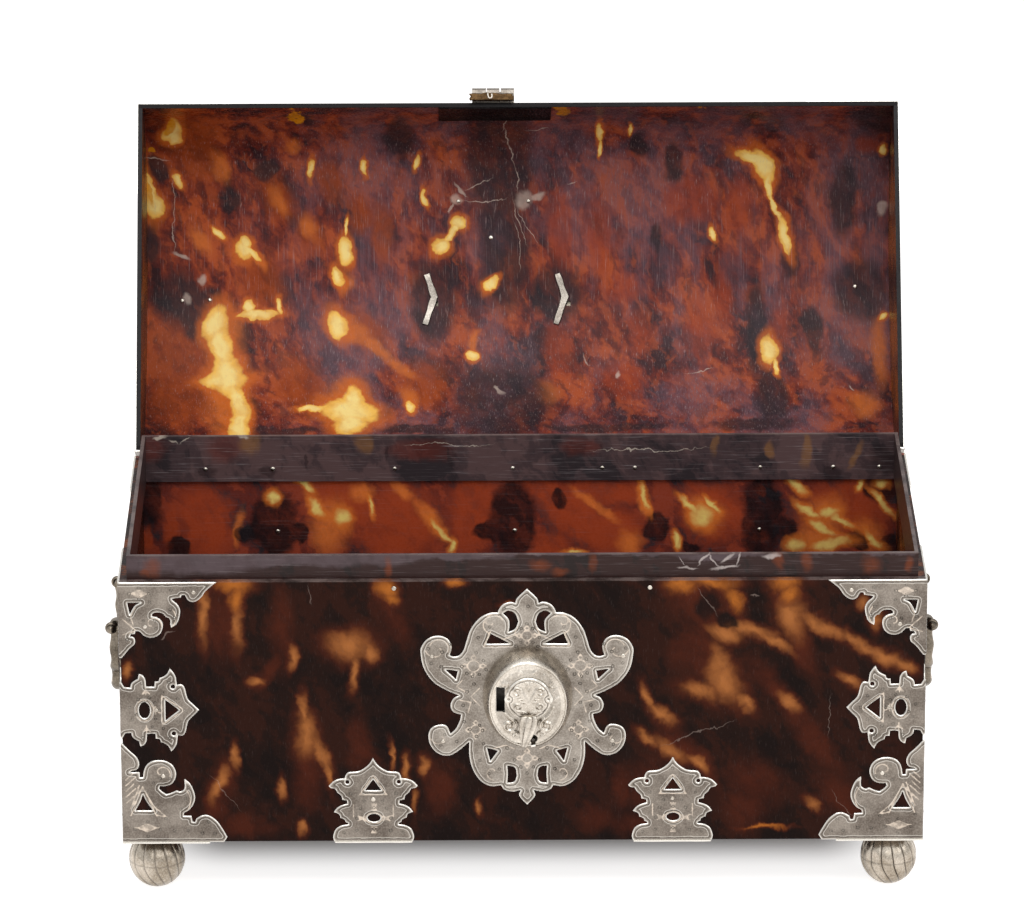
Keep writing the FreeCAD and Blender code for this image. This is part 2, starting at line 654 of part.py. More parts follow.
def hinge(place):
    """Box leaf with two knuckles, lid leaf with one between them, and the pin."""
    reach = LEAF_HALF * TONGUE_shares[1][0]
    third = 2 * reach / 3
    bore = HINGE_PIN_RADIUS + PIN_CLEARANCE
    start = KNUCKLE_RADIUS + KNUCKLE_GAP
    tongue = edge_sheet(LEAF_HALF, LEAF_LENGTH, SHEET)
    down = tongue.copy()
    down.rotate(ORIGIN, AXIS_Z, 180)
    box_leaf = [on_back(down, place, RIM - start)]
    for low, high in ((-reach, -third / 2 - KNUCKLE_GAP), (third / 2 + KNUCKLE_GAP, reach)):
        box_leaf.append(knuckle(KNUCKLE_RADIUS, bore, place + low, place + high, HINGE_Y, RIM))
        box_leaf.append(block(V(place + low, HALF_DEPTH, RIM - start),
                              V(place + high, HALF_DEPTH + SHEET, RIM)).cut(
            bar(KNUCKLE_RADIUS, high - low, V(place + low, HINGE_Y, RIM), AXIS_X)))
    over = edge_sheet(LEAF_HALF, LEAF_LENGTH, HALF_DEPTH, None)
    over = placed(over, V(place, SHEET, RIM + start), -AXIS_X, AXIS_Z, AXIS_Y)
    half = third / 2
    lid_leaf = [wrapped(over)]
    lid_leaf.append(knuckle(KNUCKLE_RADIUS, bore, place - half, place + half, HINGE_Y, RIM))
    lid_leaf.append(block(V(place - half, HALF_DEPTH, RIM + LID_GAP),
                          V(place + half, HALF_DEPTH + SHEET, RIM + start)).cut(
        bar(KNUCKLE_RADIUS, third, V(place - half, HINGE_Y, RIM), AXIS_X)))
    pin = bar(HINGE_PIN_RADIUS, 2 * (reach + PIN_PROUD),
                            V(place - reach - PIN_PROUD, HINGE_Y, RIM), AXIS_X)
    return joined(box_leaf), joined(lid_leaf), pin


# Lock

def case_layer(tiers, share, depth):
    """Body through oval rings, each a share of the lock case's outline and of a depth."""
    rings = [(s * share * CASE_HALF_WIDTH, d * depth) for s, d in tiers]
    return faceted(rings, CASE_SIDES, 0, CASE_HALF_HEIGHT / CASE_HALF_WIDTH)


def on_lock(shape, x, z, depth=0):
    """Lock work that lies in the XY plane, stood on the lock plate's face."""
    return placed(shape, V(x, -CASE_FACE - depth, z), AXIS_X, AXIS_Z, -AXIS_Y)


def escutcheon():
    outer = mirrored_wire(ESCUTCHEON_shares, ESCUTCHEON_HALF_WIDTH, ESCUTCHEON_HALF_HEIGHT)
    holes = []
    for shares in ESCUTCHEON_PIERCINGS_shares:
        hole = closed_wire(path_points(shares, ESCUTCHEON_HALF_WIDTH, ESCUTCHEON_HALF_HEIGHT))
        holes += [hole, hole.mirror(ORIGIN, AXIS_X)]
    return on_front(sheet_metal(outer, holes, SHEET), LOCK_X, LOCK_Z)


def keyhole():
    """Round hole with a slit below it, as a long cutter."""
    bow = bar(KEYHOLE_RADIUS, CASE_DEPTH + OVERRUN, ORIGIN, AXIS_Z)
    slit = block(V(-KEYHOLE_SLIT / 2, -KEYHOLE_TAIL, 0), V(KEYHOLE_SLIT / 2, 0, CASE_DEPTH + OVERRUN))
    return bow.fuse(slit)


def lock_case():
    """Hollow stepped dome with the staple's slot and the keyhole."""
    shell = case_layer(CASE_TIER_shares, 1, CASE_DEPTH)
    top = CASE_TIER_shares[2][0] - CASE_WALL / CASE_HALF_WIDTH
    cavity = case_layer(CAVITY_TIER_shares, top, CASE_DEPTH - CASE_WALL)
    slot = block(V(-SLOT_WIDTH / 2, -SLOT_HEIGHT / 2, 0),
                 V(SLOT_WIDTH / 2, SLOT_HEIGHT / 2, CASE_DEPTH + OVERRUN))
    slot.translate(V(SLOT_X - LOCK_X, LOCK_DROP - SLOT_DROP, LOCK_PLATE))
    key = keyhole()
    key.translate(V(KEY_X - LOCK_X, LOCK_DROP - KEY_DROP, LOCK_PLATE))
    return on_lock(shell.cut([cavity, slot, key]), LOCK_X, LOCK_Z)


def lock_disc():
    """Applied disc with an ear on each side."""
    disc = faceted([(DISC_RADIUS, 0), (DISC_RADIUS, DISC_THICK)], CASE_SIDES)
    ears = [bar(EAR_RADIUS, DISC_THICK, V(side * DISC_RADIUS, 0, 0), AXIS_Z) for side in (-1, 1)]
    holes = [bar(EAR_HOLE, DISC_THICK, V(side * DISC_RADIUS, 0, 0), AXIS_Z) for side in (-1, 1)]
    return on_lock(joined([disc] + ears).cut(holes), DISC_X, RIM - DISC_DROP, CASE_DEPTH)


def lock_works():
    """Back plate with two guides and the key's pin, the bolt with its talon, and the leaf spring."""
    share = CASE_TIER_shares[2][0] - (CASE_WALL + PLATE_CLEARANCE) / CASE_HALF_WIDTH
    plate = case_layer([(1, 0), (1, 1)], share, LOCK_PLATE)
    bolt_y = LOCK_DROP - SLOT_DROP
    bolt_low = SLOT_X + STAPLE_THICK / 2 + BOLT_REST_GAP - LOCK_X
    near = BOLT_PLACE - BOLT_THICK / 2
    far = BOLT_PLACE + BOLT_THICK / 2
    bolt = block(V(bolt_low, bolt_y - BOLT_HEIGHT / 2, near),
                 V(bolt_low + BOLT_LENGTH, bolt_y + BOLT_HEIGHT / 2, far))
    talon_x = KEY_X - LOCK_X
    talon = block(V(talon_x - TALON_WIDTH / 2, bolt_y - BOLT_HEIGHT / 2, near),
                  V(talon_x + TALON_WIDTH / 2, bolt_y - BOLT_HEIGHT / 2 + TALON_DEPTH, far))
    room = V(0, BOLT_HEIGHT / 2 + BOLT_CLEARANCE, BOLT_THICK / 2 + BOLT_CLEARANCE)
    solids = [plate]
    first = bolt_low + GUIDE_WALL
    second = bolt_low + BOLT_LENGTH - BOLT_THROW - GUIDE_LENGTH - GUIDE_WALL
    for start in (first, second):
        outer = block(V(start, bolt_y - room.y - GUIDE_WALL, LOCK_PLATE),
                      V(start + GUIDE_LENGTH, bolt_y + room.y + GUIDE_WALL, far + BOLT_CLEARANCE
                        + GUIDE_WALL / 2))
        hole = block(V(start, bolt_y - room.y, BOLT_PLACE - room.z),
                     V(start + GUIDE_LENGTH, bolt_y + room.y, BOLT_PLACE + room.z))
        solids.append(outer.cut(hole))
    pin = bar(KEY_PIN_RADIUS, BOLT_PLACE, V(talon_x, LOCK_DROP - KEY_DROP, 0), AXIS_Z)
    solids.append(pin)
    spring_low = first + GUIDE_LENGTH + BOLT_CLEARANCE
    spring_high = second - BOLT_CLEARANCE
    spring_y = bolt_y + BOLT_HEIGHT / 2 + BOLT_CLEARANCE
    middle = V((spring_low + spring_high) / 2, spring_y, 0)
    start = V(spring_low, spring_y + SPRING_BOW, 0)
    end = V(spring_high, spring_y + SPRING_BOW, 0)
    bow = Part.Arc(start, middle, end).toShape().discretize(SPRING_CHORDS + 1)
    back = [point + V(0, SPRING_THICK, 0) for point in reversed(bow)]
    spring = Part.Face(closed_wire(bow + back)).extrude(V(0, 0, BOLT_PLACE + SPRING_THICK - LOCK_PLATE))
    spring.translate(V(0, 0, LOCK_PLATE))
    return {
        "lock_plate": on_lock(joined(solids), LOCK_X, LOCK_Z),
        "lock_bolt": on_lock(bolt.cut(talon), LOCK_X, LOCK_Z),
        "bolt_spring": on_lock(spring, LOCK_X, LOCK_Z)}


def keyhole_cover():
    """Twisted drop under a flat eye, and the pin it swings on."""
    eye = bar(COVER_EYE_RADIUS, COVER_EYE_THICK, ORIGIN, AXIS_Z)
    eye = eye.cut(bar(COVER_PIN_RADIUS + PIN_CLEARANCE, COVER_EYE_THICK, ORIGIN, AXIS_Z))
    drop_length = COVER_LENGTH - COVER_EYE_RADIUS
    rings = [(r * COVER_RADIUS, h * drop_length) for r, h in COVER_RING_shares]
    drop = faceted(rings, COVER_SIDES, COVER_TWIST)
    drop = placed(drop, V(0, -COVER_EYE_RADIUS * COVER_NECK_share, COVER_EYE_THICK / 2), AXIS_X, -AXIS_Z, AXIS_Y)
    cover = joined([eye, drop])
    pin = bar(COVER_PIN_RADIUS, COVER_STAND + COVER_EYE_THICK + RIVET_DEPTH, ORIGIN, AXIS_Z)
    head = bar(COVER_HEAD_RADIUS, RIVET_DEPTH, V(0, 0, COVER_STAND + COVER_EYE_THICK + PIN_CLEARANCE),
               AXIS_Z)
    face = CASE_DEPTH + DISC_THICK
    z = RIM - COVER_DROP
    return {
        "keyhole_cover": on_lock(cover, COVER_X, z, face + COVER_STAND),
        "cover_pin": on_lock(joined([pin, head]), COVER_X, z, face)}


# Hasp

def hasp_plate():
    """Cross-shaped plate over the lid's front, with the two outer knuckles of the hasp."""
    outline = mirrored_wire(HASP_PLATE_shares, HASP_PLATE_HALF, HASP_PLATE_REACH)
    prism = sheet_metal(outline, [], LID_HEIGHT + SHEET)
    prism.translate(V(HASP_X, -HALF_DEPTH, RIM + LID_GAP))
    pieces = [wrapped(prism)]
    third = 2 * HASP_HALF / 3
    bore = HASP_PIN_RADIUS + PIN_CLEARANCE
    web_top = HASP_AXIS_Z + HASP_KNUCKLE
    hole = bar(bore, 2 * HASP_HALF, V(HASP_X - HASP_HALF, HASP_AXIS_Y, HASP_AXIS_Z),
                             AXIS_X)
    for low, high in ((-HASP_HALF, -third / 2), (third / 2 + KNUCKLE_GAP, HASP_HALF)):
        x_low = HASP_X + low
        x_high = HASP_X + high
        pieces.append(knuckle(HASP_KNUCKLE, bore, x_low, x_high, HASP_AXIS_Y, HASP_AXIS_Z))
        web = block(V(x_low, HASP_AXIS_Y, web_top - SHEET), V(x_high, -HALF_DEPTH, web_top))
        pieces.append(web.cut(hole))
    return joined(pieces)


def hasp():
    """Strap that steps out over the lock case, with the staple that the bolt holds."""
    inner = CASE_FACE + CASE_DEPTH + DISC_THICK + HASP_FACE_GAP
    root = -HASP_AXIS_Y + HASP_KNUCKLE
    outer = inner + HASP_THICK
    third = 2 * HASP_HALF / 3
    points = [
        V(0, -root + HASP_THICK, HASP_AXIS_Z), V(0, -root, HASP_AXIS_Z),
        V(0, -root, RIM - HASP_SHOULDER), V(0, -outer, RIM - HASP_STEP), V(0, -outer, RIM - HASP_TAIL),
        V(0, -inner, RIM - HASP_TAIL), V(0, -inner, RIM - HASP_STEP),
        V(0, -root + HASP_THICK, RIM - HASP_SHOULDER)]
    side = Part.Face(Part.makePolygon(points + points[:1])).extrude(V(2 * HASP_HALF, 0, 0))
    side.translate(V(HASP_X - HASP_HALF, 0, 0))
    narrow = third / 2 - KNUCKLE_GAP
    neck = HASP_AXIS_Z - HASP_KNUCKLE - KNUCKLE_GAP
    shoulder = RIM - HASP_SHOULDER
    tail = RIM - HASP_TAIL
    tail_mid = tail + HASP_TAIL_HALF
    front = [
        Part.makeLine(V(-narrow, 0, HASP_AXIS_Z), V(-narrow, 0, neck)),
        Part.makeLine(V(-narrow, 0, neck), V(-HASP_HALF, 0, neck)),
        Part.makeLine(V(-HASP_HALF, 0, neck), V(-HASP_HALF, 0, shoulder)),
        Part.makeLine(V(-HASP_HALF, 0, shoulder), V(-HASP_TAIL_HALF, 0, tail_mid)),
        Part.Arc(V(-HASP_TAIL_HALF, 0, tail_mid), V(0, 0, tail), V(HASP_TAIL_HALF, 0, tail_mid)).toShape(),
        Part.makeLine(V(HASP_TAIL_HALF, 0, tail_mid), V(HASP_HALF, 0, shoulder)),
        Part.makeLine(V(HASP_HALF, 0, shoulder), V(HASP_HALF, 0, neck)),
        Part.makeLine(V(HASP_HALF, 0, neck), V(narrow, 0, neck)),
        Part.makeLine(V(narrow, 0, neck), V(narrow, 0, HASP_AXIS_Z)),
        Part.makeLine(V(narrow, 0, HASP_AXIS_Z), V(-narrow, 0, HASP_AXIS_Z))]
    outline = Part.Face(Part.Wire(front)).extrude(V(0, outer + OVERRUN, 0))
    outline.translate(V(HASP_X, -outer - OVERRUN / 2, 0))
    bore = bar(HASP_PIN_RADIUS + PIN_CLEARANCE, third,
                             V(HASP_X - third / 2, HASP_AXIS_Y, HASP_AXIS_Z), AXIS_X)
    strap = side.common(outline).cut(bore)
    middle = knuckle(HASP_KNUCKLE, HASP_PIN_RADIUS + PIN_CLEARANCE, HASP_X - narrow, HASP_X + narrow,
                     HASP_AXIS_Y, HASP_AXIS_Z)
    slot_z = RIM - SLOT_DROP
    staple = block(V(SLOT_X - STAPLE_THICK / 2, -inner, slot_z - STAPLE_HEIGHT / 2),
                   V(SLOT_X + STAPLE_THICK / 2, -inner + STAPLE_DEPTH, slot_z + STAPLE_HEIGHT / 2))
    eye_y = -inner + STAPLE_EYE_PLACE
    eye_half = BOLT_HEIGHT / 2 + BOLT_CLEARANCE
    eye = block(V(SLOT_X - STAPLE_THICK / 2, eye_y - STAPLE_EYE / 2, slot_z - eye_half),
                V(SLOT_X + STAPLE_THICK / 2, eye_y + STAPLE_EYE / 2, slot_z + eye_half))
    return joined([strap, middle, staple.cut(eye)])


def folded(shape):
    """The engaged hasp, turned up over the lid's front."""
    copy = shape.copy()
    copy.rotate(V(0, HASP_AXIS_Y, HASP_AXIS_Z), AXIS_X, -HASP_FOLD)
    return copy


def hasp_pin():
    return bar(HASP_PIN_RADIUS, 2 * HASP_HALF,
                             V(HASP_X - HASP_HALF, HASP_AXIS_Y, HASP_AXIS_Z), AXIS_X)


# Bails

def shank_block(low, high):
    """The square shank of an eye between two heights."""
    return block(V(-EYE_THICK / 2, -LEG_WIDTH / 2, low), V(EYE_THICK / 2, LEG_WIDTH / 2, high))


def eye_pin(wall, sag=0):
    """Ring along X over a shank through a wall, its split legs bent over behind."""
    ring = bar(EYE_RADIUS, EYE_THICK, V(-EYE_THICK / 2, 0, EYE_STAND), AXIS_X)
    half = EYE_THICK / 2
    shank = shank_block(-wall - LEG_THICK - sag, EYE_STAND)
    legs = []
    for side in (-1, 1):
        leg = block(V(-half, 0, -wall - LEG_THICK - sag), V(half, LEG_LENGTH, -wall - sag))
        if side < 0:
            leg = leg.mirror(ORIGIN, AXIS_Y)
        leg.rotate(ORIGIN, AXIS_Z, side * LEG_SPLAY)
        legs.append(leg)
    bore = bar(TRUNNION_RADIUS + EYE_CLEARANCE, 2 * EYE_RADIUS,
                             V(-EYE_RADIUS, 0, EYE_STAND), AXIS_X)
    return joined([ring, shank] + legs).cut(bore)


def bail(half):
    """Flat cast drop handle in the XY plane, with trunnions that end in balls."""
    outer = path_points(BAIL_OUTER_shares, half, BAIL_LENGTH)
    inner = path_points(BAIL_INNER_shares, half, BAIL_LENGTH)
    right = inner[::-1] + outer[1:]
    left = [V(-point.x, point.y, 0) for point in reversed(right)][1:-1]
    body = Part.Face(closed_wire(right + left)).extrude(V(0, 0, BAIL_THICK))
    body.translate(V(0, 0, -BAIL_THICK / 2))
    start = half * BAIL_INNER_shares[0][0]
    reach = half + 2 * EYE_CLEARANCE + EYE_THICK
    pieces = [body]
    for side in (-1, 1):
        pin = bar(TRUNNION_RADIUS, reach - start, V(side * start, 0, 0), side * AXIS_X)
        end = ball(BALL_RADIUS, BALL_SIDES, BALL_RINGS)
        end = placed(end, V(side * (reach + BALL_RADIUS / 2), 0, 0), AXIS_Y, AXIS_Z, AXIS_X)
        pieces += [pin, end]
    return joined(pieces)


def eye_centre(half):
    """Distance from the bail's middle to the middle of its eye."""
    return half + EYE_CLEARANCE + EYE_THICK / 2


def on_left_end(shape, y, z):
    """Work with its pivot along X and its foot on z = 0, stood on the left end of the box."""
    return placed(shape, V(-HALF_WIDTH, y, z), AXIS_Y, -AXIS_Z, -AXIS_X)


def side_eye_shank(side):
    """The hole that an end eye's shank takes."""
    hole = shank_block(-SHELL - OVERRUN / 2, OVERRUN / 2)
    return on_left_end(hole, side * eye_centre(SIDE_BAIL_HALF), RIM - SIDE_BAIL_DROP)


def top_eye_shank(side):
    """The hole that a crown eye's shank takes."""
    hole = shank_block(CROWN - LID_SHELL - OVERRUN / 2, CROWN + OVERRUN / 2)
    hole.translate(V(TOP_BAIL_X + side * eye_centre(TOP_BAIL_HALF), 0, 0))
    return hole


def rosette():
    return faceted([(r * ROSETTE_RADIUS, h * ROSETTE_DEPTH) for r, h in ROSETTE_RING_shares],
                   ROSETTE_PETALS)


def side_handles():
    z = RIM - SIDE_BAIL_DROP
    pin = eye_pin(SHELL)
    eyes = Part.makeCompound([on_left_end(pin, side * eye_centre(SIDE_BAIL_HALF), z)
                              for side in (-1, 1)])
    bow = placed(bail(SIDE_BAIL_HALF), V(-HALF_WIDTH - EYE_STAND, 0, z), AXIS_Y, AXIS_Z, AXIS_X)
    boss = on_left_end(rosette(), 0, z - ROSETTE_DROP)
    nodes = {}
    for name, shape in (("handle_eyes", eyes), ("bail", bow), ("rosette", boss)):
        nodes["left_" + name] = shape
        nodes["right_" + name] = mirror_x(shape)
    return nodes


def top_handle():
    """The crown's bail, made as it hangs while the lid stands open."""
    sag = LEG_LENGTH ** 2 / (2 * (crown_radius() - LID_SHELL))
    pin = eye_pin(LID_SHELL, sag)
    eyes = []
    for side in (-1, 1):
        copy = pin.copy()
        copy.translate(V(TOP_BAIL_X + side * eye_centre(TOP_BAIL_HALF), 0, CROWN))
        eyes.append(copy)
    pivot = opened(Part.Vertex(TOP_BAIL_X, 0, CROWN + EYE_STAND)).Point
    bow = placed(bail(TOP_BAIL_HALF), pivot, AXIS_X, AXIS_Z, -AXIS_Y)
    return opened(Part.makeCompound(eyes)), bow, pivot


# Rivet heads

def rivet_head():
    angles = [2 * math.pi * side / RIVET_SIDES for side in range(RIVET_SIDES)]
    rim = closed_wire([V(RIVET_RADIUS * math.cos(a), RIVET_RADIUS * math.sin(a), 0) for a in angles])
    return Part.makeLoft([rim, Part.Vertex(0, 0, RIVET_DEPTH)], True, True)


def box_rivets():
    """Heads on the mounts' wings, on the lock plate and inside the back lip."""
    head = rivet_head()
    face = [(x * TOP_MOUNT_LENGTH, RIM - y * TOP_MOUNT_DROP) for x, y in TOP_RIVET_shares]
    face += [(x * LOW_MOUNT_LENGTH, FOOT_RISE + y * LOW_MOUNT_RISE) for x, y in LOW_RIVET_shares]
    face.append((EDGE_RIVET_share * EDGE_MOUNT_LENGTH, RIM - EDGE_MOUNT_DROP))
    heads = []
    for u, z in face:
        front = on_front(head, -HALF_WIDTH + u, z)
        front.translate(V(0, -SHEET, 0))
        side = front.mirror(FRONT_CORNER, V(1, -1, 0))
        for piece in (front, side):
            heads += list(four_corners(piece).values())
    base = on_front(head, -BASE_MOUNT_OFFSET, FOOT_RISE + BASE_RIVET_share * BASE_MOUNT_RISE)
    base.translate(V(0, -SHEET, 0))
    heads += [base, mirror_x(base)]
    for x, y in ESCUTCHEON_RIVET_shares:
        for side in (-1, 1):
            place = on_front(head, LOCK_X + side * x * ESCUTCHEON_HALF_WIDTH,
                             LOCK_Z + y * ESCUTCHEON_HALF_HEIGHT)
            place.translate(V(0, -SHEET, 0))
            heads.append(place)
    for share in FRONT_LIP_RIVET_shares:
        heads.append(on_front(head, share * HALF_WIDTH, RIM - FRONT_RIVET_DROP))
    inside = HALF_DEPTH - SHELL - LIP_THICK
    for share in BACK_LIP_RIVET_shares:
        heads.append(placed(head, V(share * HALF_WIDTH, inside, RIM - LIP_RIVET_DROP),
                            AXIS_X, AXIS_Z, -AXIS_Y))
    for x in hinge_places():
        z = RIM - KNUCKLE_RADIUS - LEAF_RIVET_share * LEAF_LENGTH
        heads.append(placed(head, V(x, HALF_DEPTH - SHELL, z), AXIS_X, AXIS_Z, -AXIS_Y))
        heads.append(placed(head, V(x, HALF_DEPTH + SHEET, z), -AXIS_X, AXIS_Z, AXIS_Y))
    return Part.makeCompound(heads)


def dome_point(y, inset):
    """Height of the lid's section at a place across it, and the outward direction there."""
    line = Part.makeLine(V(0, y, RIM + LID_GAP + inset), V(0, y, CROWN + OVERRUN))
    hits = [line.distToShape(edge) for edge in dome_ring(inset)]
    near = min(hits, key=lambda hit: hit[0])
    return near[1][0][0]


def lid_rivets():
    """Heads on the hasp plate and the clenched ends inside the lid."""
    head = rivet_head()
    heads = []
    for x, y in HASP_RIVET_shares:
        across = -HALF_DEPTH + y * HASP_PLATE_REACH
        place = HASP_X + x * HASP_PLATE_HALF
        for inset, turn in ((-SHEET, 1), (LID_SHELL, -1)):
            point = dome_point(across, inset)
            beside = dome_point(across + RIVET_RADIUS, inset)
            along = (beside - point).normalize()
            out = AXIS_X.cross(along)
            heads.append(placed(head, V(place, point.y, point.z), turn * AXIS_X, along, turn * out))
    return Part.makeCompound(heads)


def build():
    """Every node at rest, the lid open and the hasp folded back."""
    nodes = {}
    nodes.update(shell_panels())
    nodes.update(lip_strips())
    nodes.update(feet())
    nodes.update(box_mounts())
    nodes["escutcheon"] = escutcheon()
    nodes["lock_case"] = lock_case()
    nodes["lock_disc"] = lock_disc()
    nodes.update(lock_works())
    nodes.update(keyhole_cover())
    nodes.update(side_handles())
    nodes["box_rivets"] = box_rivets()
    box_leaves, lid_leaves, pins = zip(*[hinge(place) for place in hinge_places()])
    for name, box_leaf in zip(HINGE_PLACE_shares, box_leaves):
        nodes[name + "_box_leaf"] = box_leaf
    nodes["lid_leaves"] = opened(Part.makeCompound(lid_leaves))
    nodes["hinge_pins"] = Part.makeCompound(pins)
    for name, shape in {**lid_shell(), **lid_mounts()}.items():
        nodes[name] = opened(shape)
    nodes["hasp_plate"] = opened(hasp_plate())
    nodes["hasp_pin"] = opened(hasp_pin())
    nodes["hasp"] = opened(folded(hasp()))
    nodes["lid_rivets"] = opened(lid_rivets())
    nodes["top_handle_eyes"], nodes["top_bail"], pivot = top_handle()
    return nodes, pivot


def main():
    nodes, pivot = build()
    bounds = FreeCAD.BoundBox()
    for shape in nodes.values():
        bounds.add(shape.BoundBox)
    shift = V(0, -(bounds.YMin + bounds.YMax) / 2, 0)
    for name, shape in nodes.items():
        moved = shape.copy()
        moved.translate(shift)
        moved.exportStep("parts/" + name + ".step")
    hasp_axis = opened(Part.Vertex(0, HASP_AXIS_Y, HASP_AXIS_Z)).Point
    print("nodes", len(nodes))
    print("shift", shift.y)
    print("hinge axis", HINGE_Y + shift.y, RIM)
    print("hasp axis", hasp_axis.y + shift.y, hasp_axis.z)
    print("top bail pivot", pivot.x, pivot.y + shift.y, pivot.z)
    print("box", bounds.XMin, bounds.XMax, bounds.YMin + shift.y, bounds.YMax + shift.y, bounds.ZMax)


main()
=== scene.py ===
import json
import math
import random

import bmesh
import bpy
import numpy as np
from mathutils import Matrix, Vector, geometry, noise


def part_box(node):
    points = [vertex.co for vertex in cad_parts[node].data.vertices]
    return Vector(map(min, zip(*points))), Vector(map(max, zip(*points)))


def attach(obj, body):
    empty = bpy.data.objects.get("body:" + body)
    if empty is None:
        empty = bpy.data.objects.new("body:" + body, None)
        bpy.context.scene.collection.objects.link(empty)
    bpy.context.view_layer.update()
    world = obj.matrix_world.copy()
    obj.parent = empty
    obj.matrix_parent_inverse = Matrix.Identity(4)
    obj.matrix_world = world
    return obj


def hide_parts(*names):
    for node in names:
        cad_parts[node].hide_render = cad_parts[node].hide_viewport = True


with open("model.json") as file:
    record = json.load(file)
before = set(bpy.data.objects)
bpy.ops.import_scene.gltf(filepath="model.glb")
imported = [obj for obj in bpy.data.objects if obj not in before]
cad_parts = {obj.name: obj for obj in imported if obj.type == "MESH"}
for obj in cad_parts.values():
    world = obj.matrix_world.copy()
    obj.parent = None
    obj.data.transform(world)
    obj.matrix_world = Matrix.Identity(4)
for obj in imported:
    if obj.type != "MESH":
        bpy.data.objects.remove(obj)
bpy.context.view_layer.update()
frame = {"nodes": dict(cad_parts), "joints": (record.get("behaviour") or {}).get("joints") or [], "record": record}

# Lengths below are millimetres in a frame whose Y is nought at the box's middle; spot() gives the
# model's own metres
MM = 0.001
HALF_WIDTH = 140.0
HALF_DEPTH = 65.0
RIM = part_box("front_panel")[1].z / MM
FLOOR_OF_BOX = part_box("front_panel")[0].z / MM
SHEET = 0.7
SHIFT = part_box("front_panel")[0].y / MM + HALF_DEPTH
HINGE_Y = 66.6
TILT = math.radians(19.698)  # how far the camera looks down
OPEN_ANGLE = math.radians(121)
LID_HEIGHT = 50.0
LID_WALL = 11.0
HAUNCH_RADIUS = 28.0
LID_GAP = 0.2
LID_PLATE = 1.6

LEFT_RIGHT = ((-1, "left"), (1, "right"))
FRONT_BACK = ((-1, "front"), (1, "back"))

nodes = frame["nodes"]


def spot(x, y, z):
    return Vector((x, y + SHIFT, z)) * MM


def opened(point):
    """A point of the closed lid, millimetres, turned to where the lid stands open."""
    y = point[1] - HINGE_Y
    z = point[2] - RIM
    c = math.cos(OPEN_ANGLE)
    s = math.sin(OPEN_ANGLE)
    return Vector((point[0], HINGE_Y + c * y + s * z, RIM - s * y + c * z))


def closed_lid(x, y, z):
    return spot(*opened((x, y, z)))


def span(node):
    """Low and high corner of a node's box, numbers as spot() takes them."""
    return [(corner.x / MM, corner.y / MM - SHIFT, corner.z / MM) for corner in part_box(node)]


def pivot_of(name):
    """A joint's place, numbers as spot() takes them."""
    place = [joint for joint in frame["joints"] if joint["name"] == name][0]["pos_m"]
    return place[0] / MM, place[1] / MM - SHIFT, place[2] / MM


def placed(name, data):
    """A new object in the scene."""
    made = bpy.data.objects.new(name, data)
    bpy.context.scene.collection.objects.link(made)
    return made


class Nodes:
    """Short calls for the shader nodes that the world, the floor and the finishes share."""

    def __init__(self, tree):
        self.tree = tree

    def node(self, kind, **settings):
        made = self.tree.nodes.new("ShaderNode" + kind)
        for key, value in settings.items():
            setattr(made, key, value)
        return made

    def feed(self, source, target):
        """A link where the source is a socket, and otherwise a plain value."""
        if isinstance(source, bpy.types.NodeSocket):
            self.tree.links.new(source, target)
        elif source is not None:
            target.default_value = source

    def sum(self, operation, first, second=None):
        made = self.node("Math", operation=operation)
        self.feed(first, made.inputs[0])
        self.feed(second, made.inputs[1])
        return made.outputs[0]

    def shift(self, operation, first, second=None):
        made = self.node("VectorMath", operation=operation)
        self.feed(first, made.inputs[0])
        self.feed(second, made.inputs["Scale" if operation == "SCALE" else 1])
        return made.outputs["Value" if operation in ("LENGTH", "DOT_PRODUCT") else "Vector"]

    def range(self, value, low, high, to_low=0.0, to_high=1.0):
        made = self.node("MapRange", interpolation_type="SMOOTHSTEP")
        for source, name in ((value, "Value"), (low, "From Min"), (high, "From Max"),
                             (to_low, "To Min"), (to_high, "To Max")):
            self.feed(source, made.inputs[name])
        return made.outputs["Result"]


# Camera, light and floor

def set_camera():
    picture_width = 1024
    lens_pixels = 6997.2
    distance = 2481.9
    target = Vector((-3.23, 0, 140.62))
    yaw = math.radians(0.2953)
    pitch = TILT
    roll = math.radians(-0.1263)
    ahead = Vector((math.sin(yaw) * math.cos(pitch), math.cos(yaw) * math.cos(pitch), -math.sin(pitch)))
    right = Vector((math.cos(yaw), -math.sin(yaw), 0))
    up = right.cross(ahead)
    turned_right = math.cos(roll) * right + math.sin(roll) * up
    turned_up = -math.sin(roll) * right + math.cos(roll) * up
    data = bpy.data.cameras.new("camera")
    data.sensor_width = 36
    data.lens = data.sensor_width * lens_pixels / picture_width
    data.clip_start = 0.1
    data.clip_end = 20
    camera = placed("camera", data)
    place = target - distance * ahead
    turn = Matrix((turned_right, turned_up, -ahead)).transposed().to_4x4()
    camera.matrix_world = Matrix.Translation(spot(*place)) @ turn
    bpy.context.scene.camera = camera


def soft_light(name, place, aim, size, power):
    data = bpy.data.lights.new(name, "AREA")
    data.shape = "RECTANGLE"
    data.size, data.size_y = size
    data.energy = power
    lamp = placed(name, data)
    lamp.location = place
    lamp.rotation_euler = (Vector(aim) - Vector(place)).to_track_quat("-Z", "Y").to_euler()


def seen_share(tree):
    """One for the camera's own rays and for what metal and glass show, nought for all others."""
    path = tree.node("LightPath")
    seen = tree.sum("MAXIMUM", path.outputs["Is Camera Ray"], path.outputs["Is Glossy Ray"])
    return tree.sum("MAXIMUM", seen, path.outputs["Is Transmission Ray"])


